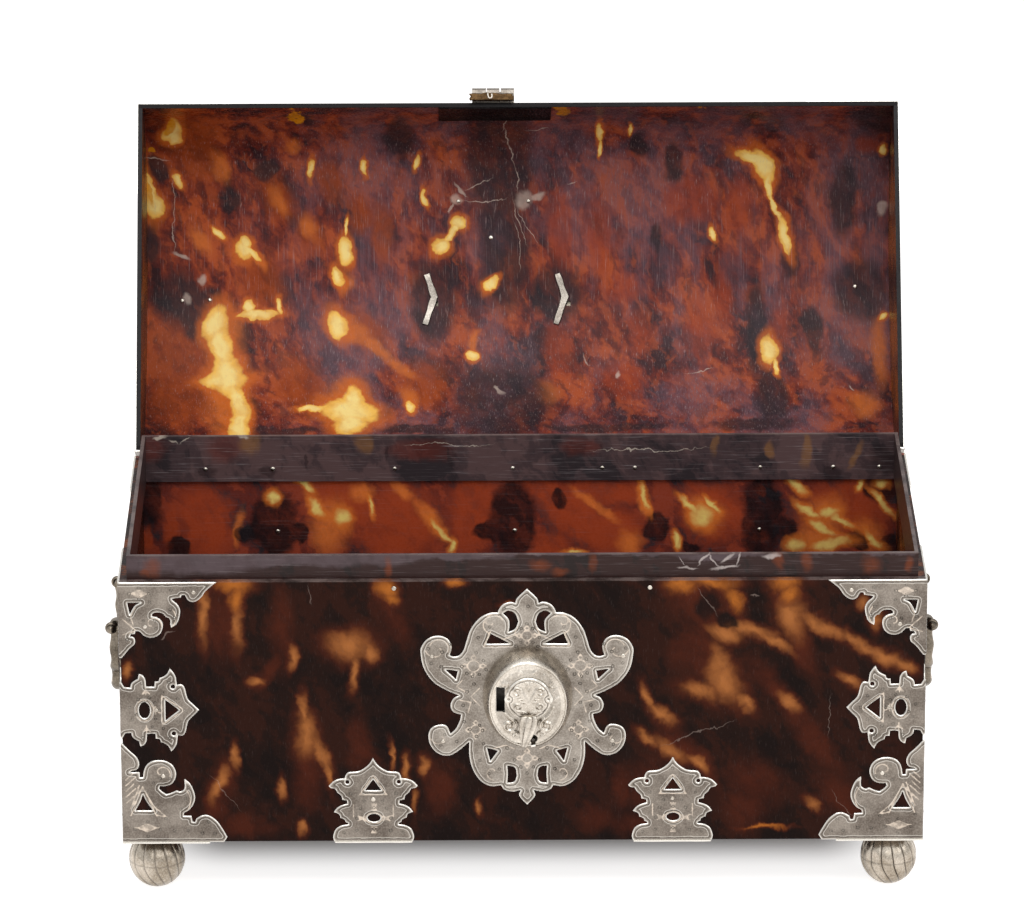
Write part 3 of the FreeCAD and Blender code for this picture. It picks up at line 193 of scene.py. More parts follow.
def set_world():
    """A white surround that lights the box more softly than it shows."""
    light, shown = 0.42, 1.0
    world = bpy.data.worlds.new("studio")
    bpy.context.scene.world = world
    world.use_nodes = True
    tree = Nodes(world.node_tree)
    back = world.node_tree.nodes["Background"]
    tree.feed(tree.range(seen_share(tree), 0, 1, light, shown), back.inputs["Strength"])
    back.inputs["Color"].default_value = (1, 1, 1, 1)


def glow_with_painted_shadow(tree):
    """Glow of the paper, lowered where the box stands over it: a painted shadow under the box."""
    shaded_half = (0.104, 0.011, 0.0)
    fade = 0.033
    under, open_paper = 0.1, 0.8
    place = tree.node("TexCoord").outputs["Object"]
    from_middle = tree.shift("ABSOLUTE", tree.shift("SUBTRACT", place, spot(0, 0, 0)))
    past = tree.shift("MAXIMUM", tree.shift("SUBTRACT", from_middle, shaded_half), (0, 0, 0))
    return tree.range(tree.shift("LENGTH", past), 0, fade, under, open_paper)


def lay_floor():
    mesh = bpy.data.meshes.new("floor")
    half = 3.0
    mesh.from_pydata([(-half, -half, 0), (half, -half, 0), (half, half, 0), (-half, half, 0)], [],
                     [(0, 1, 2, 3)])
    paper = bpy.data.materials.new("white_paper")
    paper.use_nodes = True
    paper.node_tree.nodes.clear()
    tree = Nodes(paper.node_tree)
    matt = tree.node("BsdfDiffuse")
    matt.inputs["Color"].default_value = (0.84, 0.8, 0.77, 1)
    glow = tree.node("Emission")
    # The glow fades under the box: a painted shadow.
    tree.feed(tree.sum("MULTIPLY", seen_share(tree), glow_with_painted_shadow(tree)), glow.inputs["Strength"])
    both = tree.node("AddShader")
    tree.feed(matt.outputs[0], both.inputs[0])
    tree.feed(glow.outputs[0], both.inputs[1])
    tree.feed(both.outputs[0], tree.node("OutputMaterial").inputs["Surface"])
    mesh.materials.append(paper)
    placed("floor", mesh)


def set_studio():
    bpy.context.scene.view_settings.view_transform = "Standard"
    set_camera()
    set_world()
    lay_floor()
    aim = (0, 0, 0.1)
    soft_light("top_softbox", (-0.1, -0.8, 1.6), aim, (1.4, 1.1), 15)
    soft_light("front_softbox", (0.3, -1.8, 0.8), aim, (1.8, 0.6), 4)
    soft_light("side_softbox", (1.5, -0.9, 1.0), aim, (1.0, 1.0), 5)


# Materials

class Finish(Nodes):
    """A material's node tree."""

    def __init__(self, name):
        self.material = bpy.data.materials.new(name)
        self.material.use_nodes = True
        super().__init__(self.material.node_tree)
        self.shader = self.tree.nodes["Principled BSDF"]

    def place(self):
        """Object coordinates in millimetres, Y counted from the box's middle."""
        coordinates = self.node("TexCoord").outputs["Object"]
        mapping = self.node("Mapping")
        mapping.inputs["Scale"].default_value = (1 / MM, 1 / MM, 1 / MM)
        mapping.inputs["Location"].default_value = (0, -SHIFT, 0)
        self.feed(coordinates, mapping.inputs["Vector"])
        return mapping.outputs[0]

    def turned(self, vector, place=(0, 0, 0), turn=(0, 0, 0), scale=(1, 1, 1)):
        """A vector counted from a place, along turned axes, over a size: one at the size's edge."""
        made = self.node("Mapping", vector_type="TEXTURE")
        made.inputs["Location"].default_value = place
        made.inputs["Rotation"].default_value = turn
        made.inputs["Scale"].default_value = scale
        self.feed(vector, made.inputs["Vector"])
        return made.outputs[0]

    def noise(self, vector, scale, detail=4, roughness=0.55, colour=False):
        made = self.node("TexNoise")
        made.inputs["Scale"].default_value = scale
        made.inputs["Detail"].default_value = detail
        made.inputs["Roughness"].default_value = roughness
        self.feed(vector, made.inputs["Vector"])
        return made.outputs["Color" if colour else "Fac"]

    def axis(self, vector, number):
        parts = self.node("SeparateXYZ")
        self.feed(vector, parts.inputs[0])
        return parts.outputs[number]

    def patches(self, place, view, marks):
        """Nought in the middle of listed patches that melt into each other, one at their edge
        and more outside. A mark is (x, y, half length, half width, lean): picture pixels of a
        view, and degrees from upright.
        The nearest distance so far rides along as the place's depth, so that few values are held."""
        scale, x_zero, y_zero = view
        across, upright = self.axis(place, 0), self.axis(place, 2)
        nearest = 9.0
        for x, y, long, wide, lean in marks:
            carried = self.node("CombineXYZ")
            for number, value in enumerate((across, nearest, upright)):
                self.feed(value, carried.inputs[number])
            local = self.turned(carried.outputs[0], ((x - x_zero) / scale, 0, (y_zero - y) / scale),
                                (0, math.radians(lean), 0), (wide / scale, 1e5, long / scale))
            blend = self.node("Math", operation="SMOOTH_MIN")
            self.feed(nearest, blend.inputs[0])
            self.feed(self.shift("LENGTH", local), blend.inputs[1])
            blend.inputs[2].default_value = 0.3
            nearest = blend.outputs[0]
        return nearest

    def mix(self, share, first, second):
        made = self.node("Mix", data_type="RGBA")
        self.feed(share, made.inputs["Factor"])
        self.feed(first, made.inputs[6])
        self.feed(second, made.inputs[7])
        return made.outputs[2]

    def attribute(self, name):
        return self.node("Attribute", attribute_name=name).outputs["Fac"]

    def bump(self, height, depth):
        """Bump of a depth in millimetres where the height goes from nought to one."""
        made = self.node("Bump")
        made.inputs["Strength"].default_value = 1.0
        made.inputs["Distance"].default_value = depth * MM
        self.feed(height, made.inputs["Height"])
        return made.outputs["Normal"]


def colour(red, green, blue):
    """A screen colour, 0 to 255, as the linear colour that a shader takes."""
    linear = []
    for value in (red, green, blue):
        value /= 255
        linear.append(value / 12.92 if value <= 0.04045 else ((value + 0.055) / 1.055) ** 2.4)
    return (*linear, 1.0)


def silver_finish(name, tone=(166, 159, 150), dull=(104, 96, 88), engraved=False, rough=0.34):
    """Hand-worked silver: cloudy tarnish, fine scratches, bright rims that are partly worn and partly a painted
    highlight, and dark cuts.
    """
    f = Finish(name)
    place = f.place()
    cloud = f.noise(place, 0.09, 5, 0.6)
    fine = f.noise(place, 1.6, 3, 0.6)
    scratch = f.noise(f.turned(place, turn=(0.3, 0.5, 0.7), scale=(1, 9, 1)), 2.2, 2)
    shade = f.sum("ADD", f.range(cloud, 0.32, 0.68, 0, 0.62), f.range(fine, 0.35, 0.7, 0, 0.38))
    base = f.mix(shade, colour(*dull), colour(*tone))
    height = f.sum("MULTIPLY", fine, 0.5)
    if engraved:
        rim = f.attribute("rim")
        cut = f.attribute("cut")
        etch = f.range(f.attribute("etch"), 0.58, 0.9)
        # Pale rims: partly silver rubbed bright, partly a painted highlight where the bevelled edge catches the
        # light.
        wear_and_highlight = f.range(rim, 0.6, 0.05)
        base = f.mix(f.sum("MULTIPLY", wear_and_highlight, 0.85), base, colour(232, 229, 222))
        wavy = f.sum("ADD", rim, f.range(f.noise(place, 0.4, 2), 0.3, 0.7, -0.12, 0.12))
        line = f.range(f.sum("ABSOLUTE", f.sum("SUBTRACT", wavy, 0.95)), 0.24, 0.04)
        pale = f.range(f.sum("ABSOLUTE", f.sum("SUBTRACT", wavy, 1.35)), 0.2, 0.04)
        base = f.mix(f.sum("MULTIPLY", pale, 0.45), base, colour(226, 222, 214))
        base = f.mix(f.sum("MULTIPLY", line, 0.75), base, colour(74, 68, 62))
        base = f.mix(f.sum("MULTIPLY", cut, 0.8), base, colour(64, 58, 52))
        patchy = f.range(f.noise(place, 0.5, 2), 0.35, 0.65, 0.25, 0.75)
        base = f.mix(f.sum("MULTIPLY", etch, patchy), base, colour(214, 200, 184))
        height = f.sum("SUBTRACT", height, f.sum("MULTIPLY", f.sum("MAXIMUM", cut, line), 1.4))
    f.feed(base, f.shader.inputs["Base Color"])
    f.shader.inputs["Metallic"].default_value = 1.0
    rough_map = f.sum("ADD", f.range(scratch, 0.3, 0.75, 0, 0.16), rough - 0.08)
    f.feed(rough_map, f.shader.inputs["Roughness"])
    f.feed(f.bump(height, 0.06), f.shader.inputs["Normal"])
    return f.material


# Tortoiseshell. Its patches are placed in picture pixels, on a plane across the camera's own
# direction, and run through the plates. A view is (pixels to a millimetre, x nought, y nought).
LID_VIEW = (2.684, 518.5, 811.8)
FRONT_VIEW = (2.850, 522.8, 835.0)
BACK_VIEW = (2.730, 520.1, 817.7)
LIP_VIEW = (2.750, 520.0, 820.6)


def bent_by(f, place, scale, size):
    """A place pushed about by clouds of a scale, at most about half a size either way."""
    clouds = f.shift("SUBTRACT", f.noise(place, scale, 3, colour=True), (0.5, 0.5, 0.5))
    return f.shift("ADD", place, f.shift("SCALE", clouds, size))


def shell_finish(name, view, tones, layers, mottle=0.07, painted_sheen=0.0,
                 painted_sheen_tone=(98, 80, 84), brush=(0.06, 0.0), rough=0.3, gloss=0.1, edge=None,
                 warp=(9.0, 2.6), depth=0.0, rim=False):
    """Shell: a mottled ground of tones, then layers of (marks, (tone, share, near, far), ...),
    a greyish painted sheen, fine brushed lines across or along, and a pale edge from a height up
    that is partly wear and partly a painted highlight.
    Depth is the strength of the smaller mottling, rim darkens the open lid's cut edge."""
    lean, stretch = 0.5, 2.0
    f = Finish(name)
    place = f.place()
    seen = f.node("Mapping")
    seen.inputs["Rotation"].default_value = (TILT, 0, 0)
    f.feed(place, seen.inputs["Vector"])
    seen = seen.outputs[0]
    bent = bent_by(f, bent_by(f, seen, 0.06, warp[0]), 0.35, warp[1])
    long = f.turned(bent, turn=(0, -lean, 0), scale=(1, 1, stretch))
    cloud = f.noise(long, mottle, 5, 0.62)
    fleck = f.noise(long, mottle * 3.2, 3, 0.6)
    field = f.sum("ADD", f.sum("MULTIPLY", cloud, 0.72), f.sum("MULTIPLY", fleck, 0.28))
    ground = colour(*tones[0])
    for step, tone in enumerate(tones[1:]):
        low = 0.40 + 0.17 * step / max(1, len(tones) - 1)
        ground = f.mix(f.range(field, low, low + 0.07), ground, colour(*tone))
    if depth:
        spots = f.noise(f.turned(bent, turn=(0, -0.25, 0), scale=(1, 1, 2.6)), 0.26, 3, 0.55)
        ground = f.mix(f.range(spots, 0.48, 0.66, 0, depth), ground, colour(*tones[0]))
        ground = f.mix(f.range(spots, 0.5, 0.32, 0, depth), ground, colour(*tones[-1]))
    hair = f.noise(f.turned(seen, scale=(0.42, 1, 18)), 1.0, 3, 0.7)
    across = f.noise(f.turned(seen, scale=(16, 1, 0.4)), 1.0, 3, 0.7)
    # A greyish-purple veil, streaked along the brush lines and fading out to the left: a painted sheen, the soft
    # reflection on the shell.
    if painted_sheen:
        sheen_veil = f.noise(f.turned(bent, scale=(0.8, 1, 2.6)), 0.045, 4, 0.6)
        sheen_veil = f.sum("MULTIPLY", f.range(sheen_veil, 0.36, 0.62, 0.1, 1.0), f.range(hair, 0.3, 0.7, 0.5, 1.0))
        sheen_veil = f.sum("MULTIPLY", sheen_veil, f.range(f.axis(bent, 0), -118, -60))
        ground = f.mix(f.sum("MULTIPLY", sheen_veil, painted_sheen), ground, colour(*painted_sheen_tone))
    grain = f.range(fleck, 0.34, 0.6, 0.72, 1.0)
    for marks, *shades in layers:
        away = f.patches(bent, view, marks)
        for tone, share, near, far in shades:
            mask = f.sum("MULTIPLY", f.range(away, near, far), grain)
            ground = f.mix(f.sum("MULTIPLY", mask, share), ground, colour(*tone))
    if brush[0]:
        ground = f.mix(f.range(hair, 0.56, 0.8, 0, brush[0]), ground, colour(190, 165, 160))
    if brush[1]:
        ground = f.mix(f.range(across, 0.54, 0.8, 0, brush[1]), ground, colour(190, 178, 180))
    if edge:
        # Pale band along the top arris: partly wear, partly a painted highlight.
        height = f.axis(bent_by(f, place, 0.2, 0.5), 2)
        wear_and_highlight = f.range(height, edge - 0.45, edge - 0.1, 0, 0.6)
        wear_and_highlight = f.sum("MULTIPLY", wear_and_highlight, f.range(cloud, 0.4, 0.6, 0.25, 1.0))
        ground = f.mix(wear_and_highlight, ground, colour(134, 118, 114))
    if rim:
        out = opened((0, 0, 1)) - opened((0, 0, 0))
        start = out.dot(opened((0, 0, RIM + LID_GAP)))
        beyond = f.sum("SUBTRACT", f.shift("DOT_PRODUCT", place, tuple(out)), start)
        ground = f.mix(f.range(beyond, 0.7, 0.3), ground, colour(26, 23, 24))
    f.feed(ground, f.shader.inputs["Base Color"])
    shine = f.sum("ADD", f.range(f.noise(place, 0.8, 3), 0.35, 0.7, 0, 0.12), rough - 0.06)
    f.feed(shine, f.shader.inputs["Roughness"])
    f.shader.inputs["Specular IOR Level"].default_value = gloss
    marks = f.sum("ADD", f.sum("MULTIPLY", hair, 0.5 if brush[0] else 0.1),
                  f.sum("MULTIPLY", across, 0.5 if brush[1] else 0.1))
    f.feed(f.bump(f.sum("ADD", marks, f.noise(place, 0.5, 3)), 0.03), f.shader.inputs["Normal"])
    return f.material


AMBER = (186, 116, 62)
FLAME = (192, 112, 44)
RUST = (90, 38, 22)

FRONT_LAYERS = [
    ([
        (224, 618, 34, 16, 0), (283, 628, 36, 11, 0), (270, 668, 24, 7, 35), (309, 780, 28, 16, 0),
        (362, 745, 26, 10, 0), (217, 800, 30, 14, 15), (390, 606, 16, 14, -20), (398, 622, 22, 12, -40),
        (758, 783, 30, 20, -40), (650, 790, 26, 26, 0), (770, 685, 34, 9, -45), (840, 800, 30, 14, -40),
        (800, 645, 30, 12, -20), (700, 600, 26, 30, 0), (690, 650, 18, 18, 0), (690, 755, 40, 9, -45),
        (812, 740, 40, 10, -40), (640, 825, 10, 30, 0), (240, 828, 10, 30, 0), (745, 812, 22, 22, 0),
        (440, 790, 22, 14, 0), (620, 790, 22, 10, 0), (596, 820, 12, 16, 0)],
     (RUST, 0.55, 1.7, 0.2)),
    ([
        (241, 616, 24, 5, 0), (206, 612, 26, 5, 0), (291, 658, 9, 4, 0), (258, 679, 4, 7, 0),
        (350, 645, 12, 19, 0), (369, 652, 7, 7, 0), (353, 670, 15, 4, 0), (304, 711, 15, 4, 0),
        (306, 734, 19, 9, -6), (322, 752, 18, 5, -30), (330, 772, 14, 3, -15), (235, 757, 11, 4, 5),
        (218, 787, 18, 5, 20), (280, 787, 9, 4, 0), (299, 829, 6, 4, 0), (407, 768, 12, 4, 0),
        (426, 768, 8, 4, 0), (390, 757, 12, 2.5, 0), (415, 800, 8, 3, 0),
        (790, 619, 22, 11, -15), (822, 628, 24, 6, -70), (861, 643, 24, 5, -62), (886, 657, 18, 6, -60),
        (903, 668, 9, 6, -60), (722, 632, 14, 8, -80), (748, 630, 22, 6, -75), (772, 644, 20, 5, -58),
        (716, 664, 17, 8, -12), (724, 683, 20, 12, -30), (700, 692, 17, 8, -72), (744, 702, 11, 5, -40),
        (789, 703, 12, 5, -50), (849, 682, 12, 5, -58), (649, 700, 15, 4, -20), (662, 717, 12, 5, -60),
        (647, 738, 13, 4, -45), (671, 751, 16, 6, -52), (697, 766, 12, 4, -50), (814, 805, 8, 4, -45),
        (877, 617, 9, 7, 0), (861, 602, 6, 6, 0), (480, 806, 6, 3, 0), (128, 672, 8, 4, 0)],
     (RUST, 0.75, 2.4, 0.8), (AMBER, 0.85, 1.65, 0.0)),
    ([
        (236, 585, 7, 17, 0), (240, 598, 10, 6, 0), (388, 588, 11, 9, 0), (392, 598, 5, 8, 0),
        (679, 588, 8, 16, 0), (712, 584, 6, 22, 0), (733, 599, 14, 6, -35), (782, 585, 8, 15, 0),
        (788, 597, 8, 9, 0), (511, 607, 3, 9, 0), (765, 831, 2, 22, 0), (455, 584, 5, 9, 0)],
     (RUST, 0.75, 2.2, 0.8), (FLAME, 0.85, 1.5, 0.1)),
    ([(708, 605, 10, 15, -60), (727, 618, 14, 7, -60)], ((20, 14, 13), 0.9, 1.25, 0.6)),
    ([
        (313, 597, 9, 0.5, -12), (707, 602, 14, 0.5, -42), (698, 734, 36, 0.4, 70),
        (826, 720, 22, 0.4, 0), (172, 634, 8, 0.8, 62), (225, 795, 24, 0.4, -40),
        (560, 770, 8, 0.5, 0), (753, 597, 4, 0.8, 88), (468, 635, 11, 0.4, 20),
        (842, 806, 20, 0.4, -38)],
     ((170, 150, 140), 0.35, 1.3, 0.6)),
]

LID_LAYERS = [
    ([
        (190, 140, 40, 26, -30), (180, 365, 46, 28, 0), (277, 196, 26, 15, -30), (309, 229, 22, 12, -30),
        (262, 284, 32, 22, -25), (361, 215, 18, 11, 0), (382, 232, 28, 11, -10), (425, 385, 24, 24, 0),
        (180, 400, 26, 30, 0), (300, 385, 30, 22, -40), (365, 330, 26, 16, -50),
        (330, 180, 22, 14, -20)],
     ((150, 66, 26), 0.72, 1.45, 0.5)),
    ([
        (623, 380, 18, 22, 0), (623, 288, 16, 18, 0), (691, 200, 24, 26, 0), (739, 205, 28, 12, 0),
        (560, 350, 26, 16, 0), (700, 330, 30, 14, 0), (600, 240, 40, 12, 0), (868, 146, 10, 11, 0),
        (725, 300, 26, 9, 0), (640, 330, 24, 12, 0), (560, 230, 40, 12, 0), (780, 330, 22, 10, 0)],
     ((154, 62, 34), 0.6, 1.45, 0.5)),
    ([
        (221, 167, 17, 10, -20), (259, 260, 11, 4, -45), (345, 284, 13, 9, 10), (354, 331, 22, 10, -55),
        (376, 348, 22, 7, -50), (401, 367, 20, 5, -55), (491, 285, 11, 8, 45), (545, 390, 12, 13, 40),
        (292, 142, 8, 7, 0), (279, 200, 16, 8, -30), (309, 226, 14, 8, -25), (476, 342, 14, 4, 0),
        (879, 352, 38, 9, 0), (862, 405, 14, 16, 20), (411, 400, 14, 7, -20), (200, 240, 18, 8, -30),
        (230, 400, 40, 26, -10), (223, 330, 30, 22, 0), (346, 402, 24, 28, 0)],
     ((206, 110, 48), 0.8, 1.4, 0.3)),
    ([
        (180, 299, 26, 26, 0), (192, 322, 14, 12, -20), (208, 297, 10, 12, 0), (399, 138, 18, 14, 0),
        (500, 165, 78, 30, 0), (506, 250, 60, 26, 0), (434, 300, 38, 24, 0), (558, 292, 26, 26, 0),
        (862, 290, 30, 26, 0), (812, 322, 12, 10, 0), (673, 162, 18, 9, 0), (638, 146, 8, 7, 0),
        (160, 168, 12, 10, -20), (269, 170, 10, 11, 0), (228, 197, 12, 10, -40), (505, 400, 40, 46, 0),
        (755, 426, 6, 40, 0), (840, 102, 6, 46, 0), (182, 106, 5, 40, 0), (845, 200, 34, 12, 0),
        (280, 429, 4, 46, 0), (420, 429, 4, 40, 0), (600, 429, 5, 60, 0), (330, 108, 6, 22, 0),
        (790, 262, 18, 10, 0), (658, 238, 14, 6, 0), (152, 240, 22, 7, 0), (880, 120, 14, 26, 0),
        (756, 330, 50, 10, 0), (770, 400, 30, 16, 0), (815, 330, 22, 8, 0), (640, 150, 10, 8, 0)],
     ((42, 37, 41), 0.84, 1.35, 0.7)),
    # Blond patches with an orange halo. The blond and its cream core are lighter than the shell's own: painted
    # glow of light shining through the lid.
    ([
        (175, 128, 12, 8, 45), (178, 134, 8, 6, 10), (151, 190, 24, 5, -8), (153, 205, 13, 8, 0),
        (218, 233, 7, 3.5, -35), (242, 250, 10, 9, 0), (245, 242, 7, 6, -20), (250, 251, 12, 4, -60),
        (345, 250, 14, 7, 5), (337, 277, 12, 6, -18), (347, 225, 9, 1.8, 0), (257, 316, 19, 4.5, 86),
        (250, 309, 8, 6, 0), (279, 307, 8, 3, 0), (215, 321, 17, 12, 10), (221, 345, 24, 11, -10),
        (228, 374, 22, 15, -15), (224, 380, 23, 8, 82), (239, 402, 22, 9, -22), (241, 425, 15, 10, 10),
        (338, 323, 14, 9, -25), (350, 411, 28, 11, -82), (354, 401, 13, 11, 0), (312, 407, 14, 3, 88),
        (351, 423, 10, 17, 0), (440, 246, 8, 8, 0), (452, 234, 14, 3, 45), (459, 225, 7, 7, 20),
        (493, 284, 8, 4, 40), (474, 355, 5, 5, 0), (369, 167, 8, 3, 0), (309, 169, 10, 3, 0),
        (417, 162, 8, 3, 20), (426, 194, 9, 3, -25), (411, 406, 7, 4, -30), (177, 178, 7, 4, -30),
        (752, 157, 18, 5, -72), (763, 166, 17, 8, -25), (769, 187, 14, 3.4, -15),
        (776, 208, 20, 2.6, -16), (786, 238, 20, 5.5, -14), (713, 234, 8, 3.5, -20),
        (768, 351, 14, 8, 0), (776, 368, 9, 3, -10), (600, 133, 8, 3.5, -15), (602, 147, 7, 2, 5),
        (630, 133, 5, 2, 0), (884, 150, 5, 4, 0), (884, 318, 4, 4, 0)],
     ((206, 104, 38), 0.75, 1.95, 1.1), ((250, 196, 92), 1.0, 1.16, 0.86),
     ((255, 230, 150), 0.85, 0.9, 0.35)),
    ([
        (299, 119, 9, 3, 88), (340, 104, 5, 4, 0), (698, 109, 8, 2.5, 90), (561, 112, 11, 4, -50),
        (156, 152, 3, 5, 0), (149, 186, 20, 3, -6), (172, 125, 8, 5, 40)],
     ((226, 150, 14), 0.9, 1.15, 0.8)),
    ([
        (505, 123, 9, 0.6, 20), (508, 136, 8, 0.7, -26), (513, 154, 14, 0.6, -8),
        (517, 180, 13, 0.6, -6),
        (457, 198, 6, 5, 0), (462, 189, 7, 1.2, -40), (452, 207, 6, 1.2, 20), (480, 184, 14, 0.6, 70),
        (484, 199, 22, 0.5, 90), (526, 200, 8, 9, 90), (537, 196, 8, 4, 60), (521, 222, 22, 0.5, -14),
        (529, 225, 20, 0.5, -28), (518, 245, 24, 0.4, -4), (180, 257, 10, 2.4, -65), (203, 277, 5, 4, 0),
        (188, 299, 6, 4, 0), (172, 200, 24, 0.5, 0), (159, 160, 12, 0.5, 88), (172, 232, 20, 0.5, 0),
        (589, 358, 5, 0.9, -35), (619, 378, 4, 2, 10), (882, 212, 8, 5, 0), (851, 389, 3, 1, -30),
        (498, 390, 6, 2, -50), (700, 371, 14, 0.4, 86), (536, 132, 9, 0.5, 80), (573, 183, 5, 0.6, 70)],
     ((206, 186, 172), 0.6, 1.35, 0.5)),
]

# The back wall's tones are lifted about a third above the shell's own: painted light for the inside of the box,
# where the lamps reach less.
BACK_LAYERS = [
    ([
        (206, 518, 38, 26, -8), (171, 525, 22, 6, 10), (148, 535, 10, 5, 0), (400, 526, 40, 40, 0),
        (340, 500, 34, 30, -30), (470, 510, 40, 24, 0), (575, 515, 60, 20, -55), (620, 530, 26, 20, -40),
        (710, 510, 32, 28, -30), (600, 492, 14, 40, 0), (758, 495, 6, 6, 0), (761, 539, 6, 8, 0),
        (512, 538, 5, 6, 0), (276, 538, 6, 6, 0), (840, 515, 34, 44, 0), (550, 545, 16, 20, 0)],
     ((176, 72, 40), 0.9, 1.4, 0.6)),
    ([
        (330, 526, 28, 20, 0), (316, 510, 18, 8, -40), (360, 492, 10, 14, 0), (371, 505, 12, 4, -15),
        (402, 492, 14, 6, -40), (430, 520, 26, 8, -40), (631, 545, 12, 14, -45), (641, 500, 22, 6, -15),
        (706, 515, 20, 16, -40), (824, 520, 22, 26, -50), (868, 535, 16, 16, -50), (815, 540, 10, 20, 0),
        (574, 551, 4, 14, 0), (600, 505, 30, 5, -50), (240, 528, 20, 5, 10)],
     ((236, 126, 58), 0.85, 1.4, 0.3)),
    ([
        (275, 522, 34, 24, 0), (300, 533, 12, 8, 0), (250, 535, 8, 14, 0), (512, 520, 40, 24, 0),
        (490, 532, 12, 16, 0), (655, 528, 15, 13, -20), (760, 518, 44, 22, 0), (785, 530, 12, 12, 0),
        (856, 542, 9, 13, 0), (880, 490, 15, 16, 0), (152, 500, 30, 14, 0), (560, 500, 12, 9, 0),
        (890, 545, 14, 10, 0), (690, 545, 5, 12, 0), (180, 545, 10, 16, 0)],
     ((28, 24, 27), 0.92, 1.15, 0.8)),
    ([
        (341, 518, 8, 8, 0), (315, 507, 11, 5, -40), (305, 486, 9, 3.5, -50), (273, 495, 6, 6, 0),
        (371, 504, 9, 2, -15), (440, 532, 13, 3, -42), (450, 546, 7, 4, 0), (641, 495, 16, 3, -15),
        (703, 516, 10, 10, -60), (691, 506, 14, 3, -50), (713, 505, 10, 2.4, -30),
        (675, 541, 7, 3.5, -10),
        (808, 512, 14, 4, -55), (829, 515, 6, 10, 0), (822, 530, 14, 4, -60), (829, 545, 18, 5, 82),
        (795, 547, 6, 8, 0), (873, 539, 12, 4, -50), (885, 504, 16, 3, -45), (795, 486, 11, 4, -50),
        (862, 488, 6, 3, 20), (843, 524, 12, 3, -60), (882, 484, 4, 6, 0), (574, 552, 2, 10, 0)],
     ((232, 124, 50), 0.8, 2.1, 1.0), ((255, 224, 128), 0.95, 1.3, 0.3)),
]

BACK_LIP_LAYERS = [
    ([
        (250, 440, 11, 11, -30), (361, 440, 12, 8, -30), (806, 451, 16, 5, 0), (717, 445, 9, 4, 10),
        (857, 456, 14, 4, 20), (770, 452, 8, 5, 0)],
     ((150, 104, 62), 0.62, 1.4, 0.5)),
    ([
        (150, 446, 12, 16, 0), (225, 448, 12, 16, 0), (420, 450, 10, 30, 0), (580, 448, 8, 18, 0)],
     ((112, 44, 30), 0.5, 1.5, 0.5)),
    ([
        (208, 468, 6, 9, 0), (307, 462, 10, 2, 0), (387, 455, 10, 2, 0), (833, 469, 7, 8, 0),
        (885, 460, 14, 14, 0), (270, 470, 4, 8, 0), (447, 458, 8, 2, 0)],
     ((40, 30, 32), 0.6, 1.3, 0.7)),
    ([
        (160, 436, 2, 6, 0), (242, 434, 2.5, 5, 0), (230, 436, 2, 2, 0), (182, 441, 7, 0.7, 40),
        (172, 443, 4, 0.8, -50), (650, 450, 60, 0.4, 88), (450, 445, 40, 0.4, 89)],
     ((214, 200, 184), 0.75, 1.3, 0.5)),
]

FRONT_LIP_LAYERS = [
    ([
        (190, 562, 80, 11, 90), (300, 559, 110, 8, 90), (420, 556, 100, 5, 89), (560, 553, 120, 3, 90),
        (720, 556, 50, 4, 90), (860, 553, 60, 3, 90)],
     ((96, 82, 86), 0.8, 1.3, 0.6)),
    ([
        (157, 567, 9, 9, 0), (150, 572, 5, 5, 0), (390, 566, 9, 4, 0), (803, 561, 12, 5, 0),
        (868, 566, 9, 10, 0), (776, 560, 10, 5, 0), (592, 564, 9, 4, 0), (540, 566, 6, 10, 0),
        (905, 564, 7, 4, 0), (560, 572, 4, 8, 0)],
     ((128, 62, 30), 0.6, 1.5, 0.3)),
    ([
        (703, 557, 9, 1, 40), (712, 560, 9, 0.9, -40), (727, 558, 8, 2, 60), (738, 561, 7, 1, 20),
        (686, 569, 10, 1.2, 88), (724, 568, 14, 1.6, 88), (770, 557, 8, 2.4, 80),
        (680, 562, 6, 0.5, -35)],
     ((206, 194, 190), 0.7, 1.35, 0.5)),
]

END_MARKS = [
    (890, 196, 22, 4, 0), (890, 246, 26, 4, 0), (890, 330, 30, 4, 0), (890, 398, 24, 3, 0),
    (147, 180, 20, 4, 0), (147, 290, 24, 3, 0)]

SILVER = silver_finish("silver")
SILVER_SHEET = silver_finish("silver_sheet", engraved=True)
CASE_SILVER = silver_finish("case_silver", (222, 215, 204), (150, 141, 129), True, rough=0.32)
MOUNT_SILVER = silver_finish("mount_silver", (146, 138, 129), (88, 80, 73), True)
RING_SILVER = silver_finish("ring_silver", (150, 143, 134), (60, 54, 49), rough=0.4)
FOOT_SILVER = silver_finish("foot_silver", (204, 195, 182), (132, 121, 106), True, rough=0.27)
CAST_SILVER = silver_finish("cast_silver", (146, 136, 122), (72, 64, 55), True, rough=0.36)
IRON = silver_finish("iron", (96, 92, 88), (52, 48, 45), rough=0.5)
NIGHT = [(23, 13, 11), (32, 17, 13), (46, 22, 15)]
FRONT_SHELL = shell_finish("front_shell", FRONT_VIEW, NIGHT, FRONT_LAYERS, gloss=0.05, edge=RIM)
# The lid's greyish-purple veil is a painted sheen.
LID_SHELL = shell_finish(
    "lid_shell", LID_VIEW, [(54, 30, 32), (100, 40, 32), (134, 56, 36), (172, 80, 42)], LID_LAYERS,
    painted_sheen=0.74, painted_sheen_tone=(112, 88, 98), brush=(0.5, 0.0), gloss=0.07, warp=(8.0, 2.2), depth=0.55,
    rim=True)
